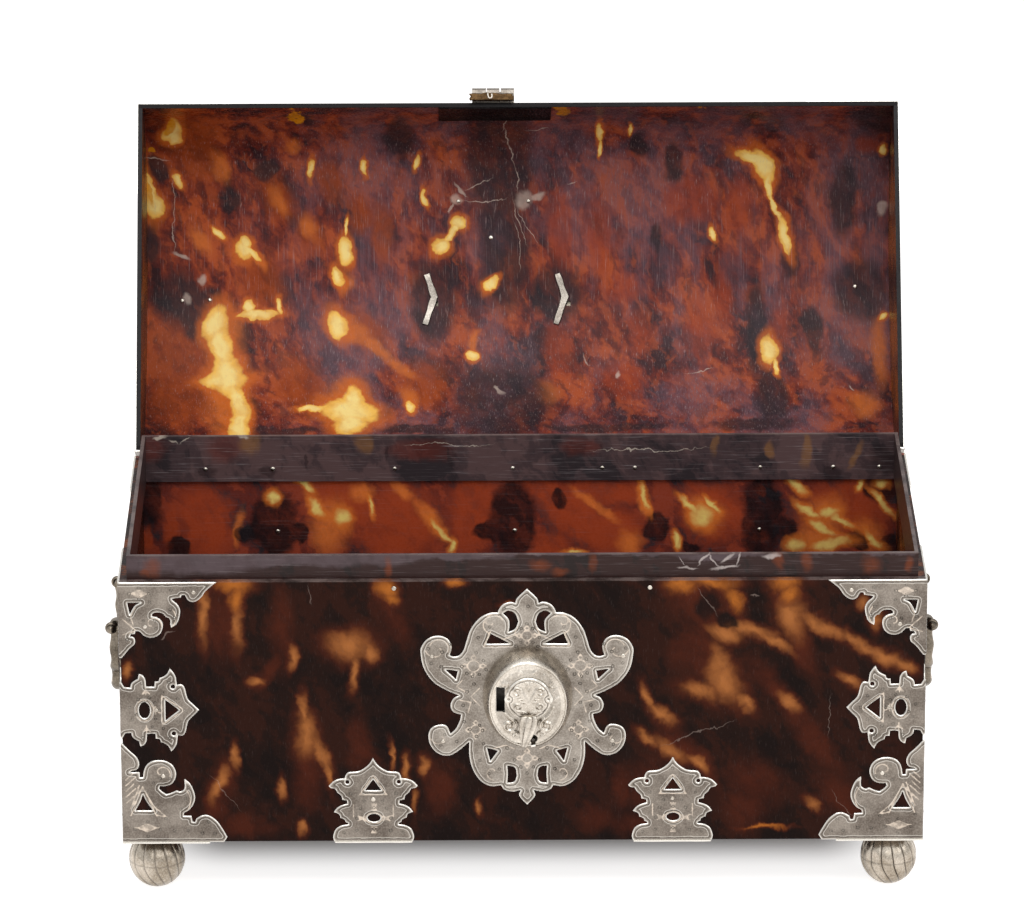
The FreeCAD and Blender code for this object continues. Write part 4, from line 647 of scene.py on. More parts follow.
# Lifted tones on the back wall: painted light.
BACK_SHELL = shell_finish("back_shell", BACK_VIEW, [(60, 48, 52), (112, 50, 42), (152, 66, 46)],
                          BACK_LAYERS, brush=(0.0, 0.12), gloss=0.12)
SHELL = shell_finish("tortoiseshell", FRONT_VIEW, NIGHT + [(62, 28, 18), (128, 66, 30)], [], gloss=0.05,
                     mottle=0.05)
END_SHELL = shell_finish("lid_end_shell", LID_VIEW,
                         [(40, 27, 25), (58, 36, 30), (74, 44, 33), (120, 66, 28)],
                         [(END_MARKS, ((176, 100, 28), 0.8, 1.5, 0.3))], brush=(0.2, 0.0), gloss=0.14,
                         rim=True)
BACK_LIP = shell_finish("back_lip_shell", LIP_VIEW, [(54, 46, 49), (76, 60, 62), (96, 74, 74)],
                        BACK_LIP_LAYERS, brush=(0.0, 0.45), rough=0.36, gloss=0.2, edge=RIM + 8.8)
FRONT_LIP = shell_finish("front_lip_shell", FRONT_VIEW, [(38, 29, 28), (52, 34, 32)],
                         FRONT_LIP_LAYERS, brush=(0.0, 0.2), rough=0.34, gloss=0.15, edge=RIM + 8.8,
                         warp=(6.0, 2.2))
LIP = shell_finish("lip_shell", LIP_VIEW, [(44, 36, 38), (56, 42, 42)], [], brush=(0.0, 0.2),
                   rough=0.36, gloss=0.18, edge=RIM + 8.8)
DARK = shell_finish("dark_strip", LID_VIEW, [(14, 13, 14), (22, 20, 21)], [], brush=(0.0, 0.08))
OLD_GILT = silver_finish("old_gilt", (104, 80, 52), (44, 32, 22), rough=0.5)

SLOT_FINISHES = {"tortoiseshell": SHELL, "lip_shell": LIP, "silver": SILVER, "iron": IRON,
                 "dark_strip": DARK}
NODE_FINISHES = {"front_panel": FRONT_SHELL, "back_panel": BACK_SHELL, "lid_dome": LID_SHELL,
                 "lid_left_end": END_SHELL, "lid_right_end": END_SHELL, "back_lip": BACK_LIP,
                 "front_lip": FRONT_LIP}


def dress_nodes():
    """The finish of each CAD node, by its record slot."""
    for part in frame["record"]["subparts"]:
        piece = nodes[part["node"]]
        piece.data.materials.clear()
        slot_finish = SLOT_FINISHES[part["material_slot"]]
        piece.data.materials.append(NODE_FINISHES.get(part["node"], slot_finish))


# Sheet work

def smooth_line(points, step=0.7):
    """A closed line through given points. A third value marks a sharp corner; between corners
    the line is a smooth curve."""
    count = len(points)
    line = []
    for index, entry in enumerate(points):
        following = points[(index + 1) % count]
        start = Vector(entry[:2])
        end = Vector(following[:2])
        length = (end - start).length
        if length < 1e-6:
            continue
        straight = (end - start) / length
        before = Vector(points[index - 1][:2])
        after = Vector(points[(index + 2) % count][:2])
        leave = straight if len(entry) > 2 else (end - before).normalized()
        arrive = straight if len(following) > 2 else (after - start).normalized()
        steps = max(1, round(length / step))
        for part in range(steps):
            t = part / steps
            point = ((2 * t ** 3 - 3 * t ** 2 + 1) * start + (t ** 3 - 2 * t ** 2 + t) * length * leave
                     + (3 * t ** 2 - 2 * t ** 3) * end + (t ** 3 - t ** 2) * length * arrive)
            line.append((point.x, point.y))
    return line


def mirrored(half):
    """A whole outline from its right half, whose ends lie on the axis."""
    return list(half) + [(-p[0],) + tuple(p[1:]) for p in reversed(half) if p[0] > 0.01]


def moved(line, x=0.0, y=0.0, flip=1):
    return [(flip * p[0] + x, p[1] + y) + tuple(p[2:]) for p in line]


def oval_line(x, y, across, along, sides=20):
    turns = [2 * math.pi * side / sides for side in range(sides)]
    return [(x + across * math.cos(a), y + along * math.sin(a)) for a in turns]


def inside(points, line):
    """Which of the points lie inside a closed line."""
    x, y = points[:, 0], points[:, 1]
    line = np.array(line)
    result = np.zeros(len(points), bool)
    for (x0, y0), (x1, y1) in zip(line, np.roll(line, -1, 0)):
        if y0 != y1:
            crosses = (y0 > y) != (y1 > y)
            result ^= crosses & (x < (x1 - x0) * (y - y0) / (y1 - y0) + x0)
    return result


def reach_of(points, line, closed=True):
    """Distance from each point to a line of chords."""
    line = np.array(line)
    starts = line if closed else line[:-1]
    ends = np.roll(line, -1, 0) if closed else line[1:]
    best = np.full(len(points), 1e9)
    for start, end in zip(starts, ends):
        along = end - start
        size = along @ along
        if size < 1e-12:
            continue
        t = np.clip(((points - start) @ along) / size, 0, 1)
        away = points - (start + t[:, None] * along)
        best = np.minimum(best, np.hypot(away[:, 0], away[:, 1]))
    return best


def new_piece(name, vertices, faces, finish, body, stands_for=(), smooth_angle=40):
    mesh = bpy.data.meshes.new(name)
    mesh.from_pydata([tuple(v) for v in vertices], [], faces)
    mesh.validate()
    mesh.shade_smooth()
    mesh.set_sharp_from_angle(angle=math.radians(smooth_angle))
    mesh.materials.append(finish)
    piece = placed(name, mesh)
    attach(piece, body)
    if stands_for:
        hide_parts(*stands_for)
    return piece


def sheet_work(name, outline, holes, lay, body, stands_for=(), grain=0.8, strokes=(),
               thickness=SHEET, flip=False, finish=None, with_rim=False):
    """A closed piece of silver sheet cut to an outline with its piercings, soft at its edges.
    lay(u, v, height) gives the place of a point of the flat sheet, and with_rim, for cast work,
    also hands it the distance from the edge. Strokes are etched lines."""
    loops = [outline] + list(holes)
    soft_width = 0.28

    def within(places):
        return inside(places, outline) & ~np.any([inside(places, hole) for hole in holes] or [False], 0)

    def reach(places):
        return np.min([reach_of(places, loop) for loop in loops], 0)

    flat = [point for loop in loops for point in loop]
    edges = []
    first = 0
    for loop in loops:
        edges += [(first + i, first + (i + 1) % len(loop)) for i in range(len(loop))]
        first += len(loop)
    border = np.array(flat)
    low = border.min(0)
    high = border.max(0)
    rows = np.arange(low[1], high[1], grain * 0.87)
    grid = np.array([(x, y) for row, y in enumerate(rows)
                     for x in np.arange(low[0] + (row % 2) * grain / 2, high[0], grain)])
    grid = grid[within(grid)]
    grid = grid[reach(grid) > 0.45]
    ring = []
    for loop in loops:
        line = np.array(loop)
        along = np.roll(line, -1, 0) - np.roll(line, 1, 0)
        along /= np.maximum(np.hypot(along[:, 0], along[:, 1]), 1e-9)[:, None]
        across = np.stack([-along[:, 1], along[:, 0]], 1)
        for side in (1, -1):
            ring.append(line + side * soft_width * across)
    ring = np.concatenate(ring)
    ring = ring[within(ring)]
    ring = ring[reach(ring) > 0.2]
    drawn = [point for stroke in strokes for point in finer(stroke)]
    cloud = [Vector(p) for p in flat] + [Vector(p) for p in ring]
    if drawn:
        drawn = np.array(drawn)
        drawn = drawn[inside(drawn, outline)]
        cloud += [Vector(p) for p in drawn]
        near = np.min([reach_of(grid, stroke, False) for stroke in strokes], 0)
        grid = grid[near > 0.3]
    cloud += [Vector(p) for p in grid]
    points, _, triangles, _, _, _ = geometry.delaunay_2d_cdt(cloud, edges, [], 0, 1e-5)
    points = np.array([tuple(p) for p in points])
    triangles = np.array([tuple(t) for t in triangles])
    triangles = triangles[within(points[triangles].mean(1))]
    used = np.unique(triangles)
    index = np.full(len(points), -1)
    index[used] = np.arange(len(used))
    points = points[used]
    triangles = index[triangles]
    corners = points[triangles]
    area = ((corners[:, 1, 0] - corners[:, 0, 0]) * (corners[:, 2, 1] - corners[:, 0, 1])
            - (corners[:, 2, 0] - corners[:, 0, 0]) * (corners[:, 1, 1] - corners[:, 0, 1]))
    triangles[area < 0] = triangles[area < 0][:, ::-1]
    rim = reach(points)
    etch = np.zeros(len(points))
    for stroke in strokes:
        etch = np.maximum(etch, np.clip(1 - reach_of(points, stroke, False) / 0.7, 0, 1))
    tops = thickness - 0.22 * (1 - np.clip(rim / soft_width, 0, 1)) ** 2
    count = len(points)
    vertices = []
    for (u, v), top, edge in zip(points, tops, rim):
        wave = 0.09 * noise.noise(Vector((u * 0.16, v * 0.16, 3.7)))
        vertices.append(lay(u, v, top + wave, edge) if with_rim else lay(u, v, top + wave))
    vertices += [lay(u, v, 0.0, 0.0) if with_rim else lay(u, v, 0.0) for u, v in points]
    faces = [tuple(t) for t in triangles.tolist()]
    faces += [(c + count, b + count, a + count) for a, b, c in triangles.tolist()]
    seen = {}
    for a, b, c in triangles.tolist():
        for edge in ((a, b), (b, c), (c, a)):
            seen[edge] = seen.get(edge, 0) + 1
    for a, b in seen:
        if (b, a) not in seen:
            faces.append((b, a, a + count, b + count))
    if flip:
        faces = [face[::-1] for face in faces]
    if not finish:
        finish = SILVER_SHEET if name.startswith("escutcheon") else MOUNT_SILVER
    piece = new_piece(name, vertices, faces, finish, body, stands_for, 32)
    back = np.zeros(count)
    paint(piece, "rim", [NO_RIM] * (2 * count) if with_rim else np.concatenate([rim, back]))
    paint(piece, "etch", np.concatenate([etch, back]))
    return piece


def finer(line):
    """The points of an open line with more of them along each stretch."""
    step = 0.4
    points = []
    for (x0, y0), (x1, y1) in zip(line, line[1:]):
        count = max(1, round(math.hypot(x1 - x0, y1 - y0) / step))
        points += [(x0 + (x1 - x0) * i / count, y0 + (y1 - y0) * i / count) for i in range(count)]
    return points + [line[-1]]


# A distance from the rim at which the silver shows none
NO_RIM = 3.0


def paint(piece, name, values):
    made = piece.data.attributes.new(name, "FLOAT", "POINT")
    made.data.foreach_set("value", np.array(values, np.float32))


def mark_cuts(piece, cuts=None):
    """The depth of cuts at each point of a piece without a sheet's rim, none if not given."""
    count = len(piece.data.vertices)
    paint(piece, "rim", [NO_RIM] * count)
    paint(piece, "cut", cuts or [0.0] * count)


# Width of the bend that a mount makes round an arris, either side of it
BEND = 0.6


def round_bend(u, height):
    """How far past an arris's two faces a point of the sheet bent round it lies: u over nought is
    on the second face, under nought on the first."""
    if u > BEND:
        return BEND - u, height
    if u < -BEND:
        return height, u + BEND
    turn = (u / BEND + 1) * math.pi / 4
    return height * math.cos(turn), height * math.sin(turn)


def round_arris(x_side, y_side):
    """Lays a sheet round one upright arris of the box: u over nought on the front or back, under
    nought on the end, v is the height over the table."""
    def lay(u, v, height):
        past_end, past_front = round_bend(u, height)
        return spot(x_side * (HALF_WIDTH + past_end), y_side * (HALF_DEPTH + past_front), v)
    return lay


def both_wings(half):
    """The flat form of a mount with two like wings, the bend between them."""
    right = [(p[0] + BEND,) + tuple(p[1:]) for p in half]
    left = [(-p[0] - BEND,) + tuple(p[1:]) for p in reversed(half)]
    return right + left


# Outlines read from the mounts, a third value for a sharp corner

TOP_CORNER = [
    (0, 0, 1), (33.8, 0, 1), (30, 3.3), (28.8, 5.2, 1), (27.1, 6.9), (25.3, 7.5), (23.8, 6.8),
    (23, 5.3, 1), (22.6, 4.8, 1), (21.6, 4.8, 1), (21.3, 5.8, 1), (18.1, 6.2, 1), (18.5, 6.9, 1),
    (19.9, 8.1), (20.8, 9.6), (21, 11), (20.6, 13.5), (19.6, 15.8), (17.8, 17.1, 1), (17.5, 15.8, 1),
    (17.6, 14.4), (16.9, 13.4), (16, 13.1, 1), (15.2, 12), (13.8, 11.4), (12.1, 11.4), (11.2, 12.1, 1),
    (11.2, 12.8, 1), (13.1, 13.3), (14.4, 14.4), (14.9, 16), (14.4, 18.5), (13, 20.2), (10.8, 20.9),
    (8.5, 20.3), (7, 18.8, 1), (6.6, 18.4), (5.3, 18.4, 1), (5.1, 19.5, 1), (3.7, 19.6, 1),
    (3.3, 20.5, 1), (4.5, 20.6), (5.1, 21.6), (4.9, 23.3), (3.1, 25), (0.4, 28.5, 1), (0, 28.5, 1)]
TOP_CORNER_HOLE = [(2.7, 7.7, 1), (7.4, 7.6, 1), (5.5, 8.6), (4.4, 10.2), (3.5, 12.1, 1), (3, 9.6)]
LOW_CORNER = [
    (0, 37.8, 1), (2.4, 35.1), (4.7, 32.8), (5.6, 30.7), (5.5, 29.1), (4.6, 27.8), (3.1, 27.5, 1),
    (2.2, 26.9, 1), (5.7, 26.9, 1), (5.8, 24.9, 1), (6.9, 24.9, 1), (7.2, 27.2, 1), (8, 29.3),
    (9.7, 30.9), (12.4, 31.5), (15.3, 31), (17.5, 29.3), (18.5, 26.6), (18, 24), (16.6, 22.2),
    (14.4, 21.5), (12.7, 21.6, 1), (12.4, 20.7, 1), (13.3, 19.6), (15, 18.4, 1), (16.8, 19),
    (18.6, 19.9, 1), (19.7, 19.4), (21.1, 20.1), (21.5, 21.3), (21.4, 23.4), (21.5, 24.2, 1),
    (23.3, 22.5), (24.4, 20.1), (25, 17.2), (24.4, 14.6), (23, 12.5), (21.1, 11.3, 1), (20.9, 10.1, 1),
    (23.6, 10, 1), (23.9, 7.8, 1), (24.9, 7.6, 1), (25.3, 9, 1), (27.1, 10.1), (28.6, 10.4),
    (30.3, 9.9), (32.7, 7.8), (34.7, 4.6), (36.1, 1.9, 1), (34.9, 0, 1), (0, 0, 1)]
LOW_CORNER_HOLE = [(6.7, 18.5, 1), (5.8, 15.7), (4, 12.2, 1), (10.2, 12.2, 1), (8.1, 15.4)]
EDGE_HALF = [
    (0, 10.6, 1), (1, 8.8, 1), (3.2, 8.5, 1), (3.4, 9.9), (4.2, 10.9), (5.8, 11.9, 1), (6.2, 13.8, 1),
    (7.3, 13.4), (8.3, 12), (8.6, 9, 1), (11.6, 8.9, 1), (11.7, 10.9, 1), (13, 11), (13.4, 12.2, 1),
    (15.1, 13), (16.1, 13.9), (17, 15.8, 1), (17.8, 14.9), (18.9, 13), (19.2, 11), (19.4, 9.6, 1),
    (21.2, 9.7), (22.1, 8.3), (22.6, 6), (23.2, 4.1), (25, 2.1), (27, 0, 1)]
EDGE_WHOLE = EDGE_HALF + [(x, -y) + tuple(c) for x, y, *c in reversed(EDGE_HALF) if y > 0.01]
BASE_HALF = [
    (0, 32, 1), (1.1, 30), (2.8, 28.3), (5, 27), (7.2, 26.7), (8.8, 26.5), (9.7, 25.2), (9.9, 24.2, 1),
    (12.2, 23.9), (13.9, 23.1), (15.6, 21.3, 1), (15, 20.6), (13.3, 20.2, 1), (12.4, 18.6),
    (11.2, 17.5), (10.9, 16, 1), (9.2, 15.7, 1), (9.1, 14.5, 1), (11.3, 13.8), (12.8, 12.8),
    (13.9, 11.3, 1), (12, 10.4), (11.6, 9, 1), (10, 8.3), (9.8, 7.4, 1), (8.9, 7.1, 1), (8.8, 6.5, 1),
    (11.4, 6), (13.1, 4.9), (13.9, 3.2), (14.2, 1.5), (13.8, 0, 1), (0, 0, 1)]
ESCUTCHEON_HALF = [
    (0, 41.1, 1), (3.6, 37.3), (4, 35.6, 1), (5.5, 36.1), (8.2, 35.3), (9.8, 33.2), (10.1, 32.1, 1),
    (12.7, 32), (16.4, 30.1), (19.5, 26), (20.9, 21.9), (22, 18.2), (23.6, 16), (25.5, 15.5),
    (27, 16, 1), (26.4, 17.8), (26.3, 19.6), (27.7, 22.3), (30.9, 23.4), (34.5, 22.3), (36.8, 19.2),
    (37, 16.4), (35.9, 11), (32.7, 6), (28.2, 2.8), (23.6, 0.7, 1), (25.5, -0.2), (26.7, -2.9),
    (25.7, -5.6), (23, -6.5, 1), (23.4, -8.6), (25, -12), (26.8, -13.8, 1), (28.2, -10.8),
    (30.9, -10.4), (33.6, -11.8), (34.5, -14.9), (33.6, -18.6), (30.9, -21.5), (27.3, -22.2),
    (24.1, -20.4), (20.2, -16.8, 1), (20.2, -22.2), (19.1, -27.2), (16.4, -31.8), (12.7, -34),
    (9.1, -33.6, 1), (8.2, -35.2), (5.5, -36.1), (2.2, -35.5, 1), (2.8, -37.6), (0, -41.1, 1)]
ESCUTCHEON_HOLES = [
    [(3, 28.7, 1), (4.1, 31.7), (6.4, 32.8), (8.4, 31.9, 1), (6.4, 29.6), (6.1, 27.3), (6.4, 24.8, 1),
     (4.1, 26)],
    [(12.7, 24.2, 1), (14.3, 20.3, 1), (5.9, 20.4, 1)],
    [(24.1, 10.1, 1), (28.6, 10.7, 1), (24.8, 6.9, 1)],
    [(10.2, -20.4, 1), (14.1, -19.3, 1), (12.9, -24.3, 1)],
    [(3.6, -30, 1), (4.3, -26.8), (7, -26.1, 1), (6.8, -29), (7, -32.7, 1), (4.5, -32.2)]]


def corner_places():
    for x_side, x_word in LEFT_RIGHT:
        for y_side, y_word in FRONT_BACK:
            yield x_side, y_side, y_word + "_" + x_word


# The outlines' heights were read for a front 99 high
HEIGHT_SHARE = (RIM - FLOOR_OF_BOX) / 99.0


def lowered(line, start=0.0, way=1):
    """An outline with its heights to scale, counted up or down from a start."""
    return [(p[0], start + way * p[1] * HEIGHT_SHARE) + tuple(p[2:]) for p in line]


def lozenge(x, y, across, along):
    """A chased lozenge with its crossed lines, as open strokes."""
    edge = [(x - across, y), (x, y + along), (x + across, y), (x, y - along), (x - across, y)]
    inner = [(x - across * 0.5, y - along * 0.1), (x, y + along * 0.5), (x + across * 0.5, y),
             (x, y - along * 0.5), (x - across * 0.5, y)]
    return [edge, inner, [(x - across * 1.3, y), (x + across * 1.3, y)]]


def both_ways(strokes):
    """Strokes of one wing of a mount and their mirror images on the other."""
    return ([[(x + BEND, y) for x, y in stroke] for stroke in strokes]
            + [[(-x - BEND, y) for x, y in stroke] for stroke in strokes])


# Punched rings: places on the box's sheets and directions out of them
punched = []


def punch(lay, places):
    for u, v in places:
        start = lay(u, v, SHEET)
        punched.append((start, (lay(u, v, SHEET + 1) - start).normalized()))


def on_both_wings(places):
    return [(side * (x + BEND), y) for x, y in places for side in (1, -1)]


TOP_DOTS = [(10.5, 7.6), (17.6, 10.2), (18.0, 2.9), (8.2, 14.5), (12.1, 14.5), (12.5, 17.4), (3.4, 4.2),
            (10.3, 4.2), (6.8, 2.1), (6.8, 6.3), (22.5, 2.6), (3.0, 14.0), (19.0, 13.2), (2.4, 21.5)]
LOW_DOTS = [(10.5, 22.9), (12.9, 24.6), (16.3, 24.6), (22.3, 4.5), (19.9, 12.8), (3.7, 5.0), (12.6, 5.0),
            (8.2, 7.8), (8.3, 2.3), (14.6, 9.2), (2.2, 9.6), (17.6, 4.4), (21.6, 16.8), (3.4, 30.6),
            (11.4, 28.4), (27.4, 3.4), (31.8, 3.2), (29.6, 7.8)]
EDGE_DOTS = [(5.8, 4.1), (9.8, 4.9), (5.2, -1.6), (11.6, 3.0), (19.6, 4.4), (19.6, -4.4), (22.0, 0.0),
             (2.8, 1.2), (3.6, -3.6), (10.5, -6.3), (11.7, -3.3), (14.4, 7.0), (14.4, -7.0), (13.2, 0.0),
             (16.6, 10.6), (16.6, -10.6), (7.2, 10.4), (7.2, -10.4)]
BASE_DOTS = [(6.6, 24.6), (-6.6, 24.6), (4.6, 12.6), (-4.6, 12.6), (0.0, 27.6), (8.0, 18.4),
             (-8.0, 18.4), (6.2, 8.9), (-5.8, 8.9), (0.2, 4.8), (0.2, 13.0), (10.4, 3.4), (-10.4, 3.4),
             (3.2, 15.6), (-3.2, 15.6), (6.0, 4.2), (-6.0, 4.2)]
PLATE_DOTS = [
    (12.9, 26.8), (17.0, 22.8), (17.7, 17.1), (20.7, 14.5), (15.2, 14.1), (16.6, 8.8), (21.0, 9.2),
    (22.7, 11.8), (14.2, 10.6), (29.5, 17.3), (33.4, 13.0), (29.9, 11.8), (18.5, 5.2), (20.9, 2.2),
    (22.3, -3.0), (16.6, -10.6), (21.9, -9.2), (17.7, -14.8), (20.0, -12.2), (15.6, -12.6),
    (28.8, -14.1), (24.6, -16.7), (30.2, -18.0), (15.3, -17.6), (16.6, -23.9), (13.4, -29.1),
    (9.7, -27.3), (7.0, -19.3), (4.4, -23.9), (2.2, -26.6), (3.8, 19.4), (2.1, 21.0), (4.3, 22.7),
    (2.0, 26.1), (18.6, -2.0), (19.0, 8.0), (34.4, 18.6), (26.8, 20.2)]


def wing_holes(hole):
    """A piercing of one wing of a mount and its mirror image on the other."""
    return [moved(hole, BEND), moved(hole, -BEND, flip=-1)]


def edge_holes(middle=0.0, eyelets=()):
    """Piercings of an edge mount: an oval and a triangle a wing, and round eyelets near its tips."""
    triangle = smooth_line([(15.2, 3.9, 1), (20, 0, 1), (15.2, -3.9, 1)])
    holes = []
    for side in (1, -1):
        holes += [oval_line(side * (7.9 + BEND), middle, 2.0, 3.05),
                  moved(triangle, side * BEND, middle, side)]
        holes += [oval_line(side * (18 + BEND), middle + v, 0.8, 0.8, 10) for v in eyelets]
    return holes


def box_corner_mounts():
    edge_middle = RIM - 47.7
    top_strokes = lozenge(6.8, 4.2, 2.6, 1.5) + [
        scroll(11.2, 15.8, 3.4, 0.2, 0.7, -1, 14), [(1.0, 13.8), (5.6, 18.2), (1.0, 19.6)],
        [(5.4, 9.6), (3.8, 13.0), (4.6, 16.0)], arc_line(14.5, 13.4, 5.0, -0.7, 0.9, 10)]
    low_strokes = lozenge(8.0, 5.6, 3.4, 1.5) + [
        scroll(13.4, 26.6, 3.3, -0.4, 0.75, 1, 14), [(2.4, 10.2), (6.7, 21.5), (11.4, 10.2)],
        arc_line(17.0, 16.0, 6.4, -0.9, 0.7, 10), [(12.0, 10.4), (15.0, 9.6)],
        [(2.4, 13.0), (5.6, 22.0)], [(7.4, 19.6), (10.4, 14.0), (14.4, 10.2)],
        [(0.8, 19.6), (3.6, 22.4)], [(0.8, 17.4), (4.2, 20.8)], [(0.8, 21.8), (4.4, 25.2)],
        [(1.0, 15.2), (3.6, 17.8)], [(0.8, 24.0), (3.4, 26.4)]]
    edge_strokes = [oval_line(7.9, 0, 3.0, 4.1, 16), [(14.0, 5.6), (21.8, 0), (14.0, -5.6)],
                    [(14.0, 5.6), (14.0, -5.6)]]
    for x, y in ((8.5, 7.2), (8.5, -7.2), (11.8, 0)):
        edge_strokes += [[(x - 1.3, y - 0.9), (x, y + 0.6), (x + 1.3, y - 0.9)],
                         [(x, y - 1.3), (x, y + 1.4)]]
    mounts = (
        ("top", TOP_CORNER, wing_holes(smooth_line(lowered(TOP_CORNER_HOLE, RIM, -1))), top_strokes,
         TOP_DOTS, RIM, -1),
        ("low", LOW_CORNER, wing_holes(smooth_line(lowered(LOW_CORNER_HOLE, FLOOR_OF_BOX))),
         low_strokes, LOW_DOTS, FLOOR_OF_BOX, 1),
        ("edge", EDGE_WHOLE, edge_holes(edge_middle, (8.8, -8.8)), edge_strokes, EDGE_DOTS,
         edge_middle, 1))
    for x_side, y_side, corner in corner_places():
        lay = round_arris(x_side, y_side)
        for word, outline, holes, strokes, dots, start, way in mounts:
            name = "%s_%s_mount" % (corner, word)
            punch(lay, lowered(on_both_wings(dots), start, way))
            sheet_work(name + "_sheet", smooth_line(both_wings(lowered(outline, start, way))), holes,
                       lay, "base", [name],
                       strokes=[lowered(stroke, start, way) for stroke in both_ways(strokes)],
                       flip=x_side * y_side < 0)
        low_flange(corner, x_side, y_side)


def low_flange(corner, x_side, y_side):
    """The corner mount's flange under the box, which carries the foot."""
    outline = smooth_line([(-SHEET, -SHEET, 1), (30, -SHEET, 1), (24, 7.5), (16.5, 16.5), (7.5, 24),
                           (-SHEET, 30, 1)])

    def lay(u, v, height):
        return spot(x_side * (HALF_WIDTH - u), y_side * (HALF_DEPTH - v), FLOOR_OF_BOX - height)

    sheet_work(corner + "_flange", outline, [], lay, "base", grain=1.4, flip=x_side * y_side > 0)


def on_front(x_middle, z_middle):
    def lay(u, v, height):
        return spot(x_middle + u, -HALF_DEPTH - height, z_middle + v)
    return lay


def cross_marks(x, y, inner, outer):
    """Four little arrowheads round a piercing."""
    strokes = []
    for turn in range(4):
        c, s = math.cos(turn * math.pi / 2), math.sin(turn * math.pi / 2)
        tip = (x + c * inner, y + s * inner)
        for side in (-0.9, 0, 0.9):
            strokes.append([tip, (x + c * outer - s * side, y + s * outer + c * side)])
        strokes.append([(x + c * inner - s * 0.9, y + s * inner + c * 0.9),
                        (x + c * inner + s * 0.9, y + s * inner - c * 0.9)])
    return strokes


def base_mounts():
    for side, word in LEFT_RIGHT:
        holes = [smooth_line(lowered([(2.9, 19.6, 1), (0, 23.9, 1), (-2.9, 19.6, 1)])),
                 oval_line(0.2, 8.9, 2.3, 1.5), oval_line(9, 22.5, 0.75, 0.75, 10),
                 oval_line(-9, 22.5, 0.75, 0.75, 10)]
        strokes = cross_marks(0.2, 8.9, 3.4, 5.6) + [
            oval_line(0.2, 8.9, 3.0, 2.1, 16), [(-4.8, 18.0), (0, 25.4), (4.8, 18.0), (-4.8, 18.0)],
            [(-7, 14), (-7, 9.5)], [(7, 14), (7, 9.5)]]
        punch(on_front(side * 52.5, FLOOR_OF_BOX), lowered(BASE_DOTS))
        sheet_work(word + "_base_mount_sheet", smooth_line(mirrored(lowered(BASE_HALF))), holes,
                   on_front(side * 52.5, FLOOR_OF_BOX), "base", [word + "_base_mount"],
                   strokes=[lowered(stroke) for stroke in strokes])
        tongue = smooth_line([(-13.6, -SHEET, 1), (13.6, -SHEET, 1), (11.5, 3.4), (6.5, 6.2), (0, 9, 1),
                              (-6.5, 6.2), (-11.5, 3.4)])

        def lay(u, v, height, x_middle=side * 52.5):
            return spot(x_middle + u, -HALF_DEPTH + v, FLOOR_OF_BOX - height)

        sheet_work(word + "_base_tongue", tongue, [], lay, "base", grain=1.4, flip=True)


def flower(x, y, size):
    """A round flower with four pointed petals."""
    strokes = [oval_line(x, y, size, size, 18) + [(x + size, y)]]
    for turn in range(4):
        c, s = math.cos(turn * math.pi / 2), math.sin(turn * math.pi / 2)
        for lean in (-0.9, 0.9):
            strokes.append([(x + c * size, y + s * size),
                            (x + c * size * 1.5 - s * lean, y + s * size * 1.5 + c * lean),
                            (x + c * size * 2.1, y + s * size * 2.1)])
    return strokes


def escutcheon():
    holes = []
    for hole in ESCUTCHEON_HOLES:
        line = smooth_line(lowered(hole))
        holes += [line, moved(line, flip=-1)]
    strokes = flower(0, 23.5, 1.8) + flower(0, -23.2, 1.8)
    for side in (-1, 1):
        strokes += flower(side * 18.6, 12, 2.1) + flower(side * 18, -12.2, 1.7)
        strokes += [scroll(side * 31.2, 18.4, 4.2, math.pi / 2 - side * 1.7, 0.55, -side, 14),
                    scroll(side * 30.3, -15.2, 3.4, math.pi / 2 - side * 1.7, 0.55, -side, 14),
                    scroll(side * 11.8, -28.4, 3.2, -math.pi / 2, 0.6, side, 14),
                    scroll(side * 12.2, 28.6, 3.0, math.pi / 2, 0.6, -side, 14),
                    [(side * 12.4, 25.6), (side * 15.2, 19.3), (side * 5.2, 19.4)],
                    [(side * 3.2, 26.8), (side * 4.6, 23.6), (side * 8.2, 22.0), (side * 11.4, 23.6)],
                    [(side * 16.6, 3.6), (side * 19.6, 0.4), (side * 16.6, -3.0)],
                    [(side * 13.4, -20.0), (side * 7.6, -18.2), (side * 4.4, -19.6)],
                    [(side * 23.4, -1.0), (side * 19.6, -1.8), (side * 20.6, -5.6)],
                    [(side * 22.6, 6.6), (side * 24.6, 4.2), (side * 20.4, 1.6)]]
        strokes += [arc_line(side * 11.6, 27.6, 3.6, math.pi / 2 - side * 2.6, math.pi / 2 + side * 1.0),
                    arc_line(side * 30.6, 18.6, 3.4, math.pi / 2 - side * 1.2, math.pi / 2 + side * 2.0)]
    lay = on_front(1.5, RIM - 43.4)
    punch(lay, lowered([(side * x, y) for x, y in PLATE_DOTS for side in (1, -1)]
                       + [(0.4, 34.5), (0, 27.9), (0, -28.9), (0, -35.8)]))
    sheet_work("escutcheon_sheet", smooth_line(mirrored(lowered(ESCUTCHEON_HALF))), holes,
               lay, "base", ["escutcheon"], grain=0.7, strokes=[lowered(stroke) for stroke in strokes])


# The lid's section, from the front rim over the crown to the back rim

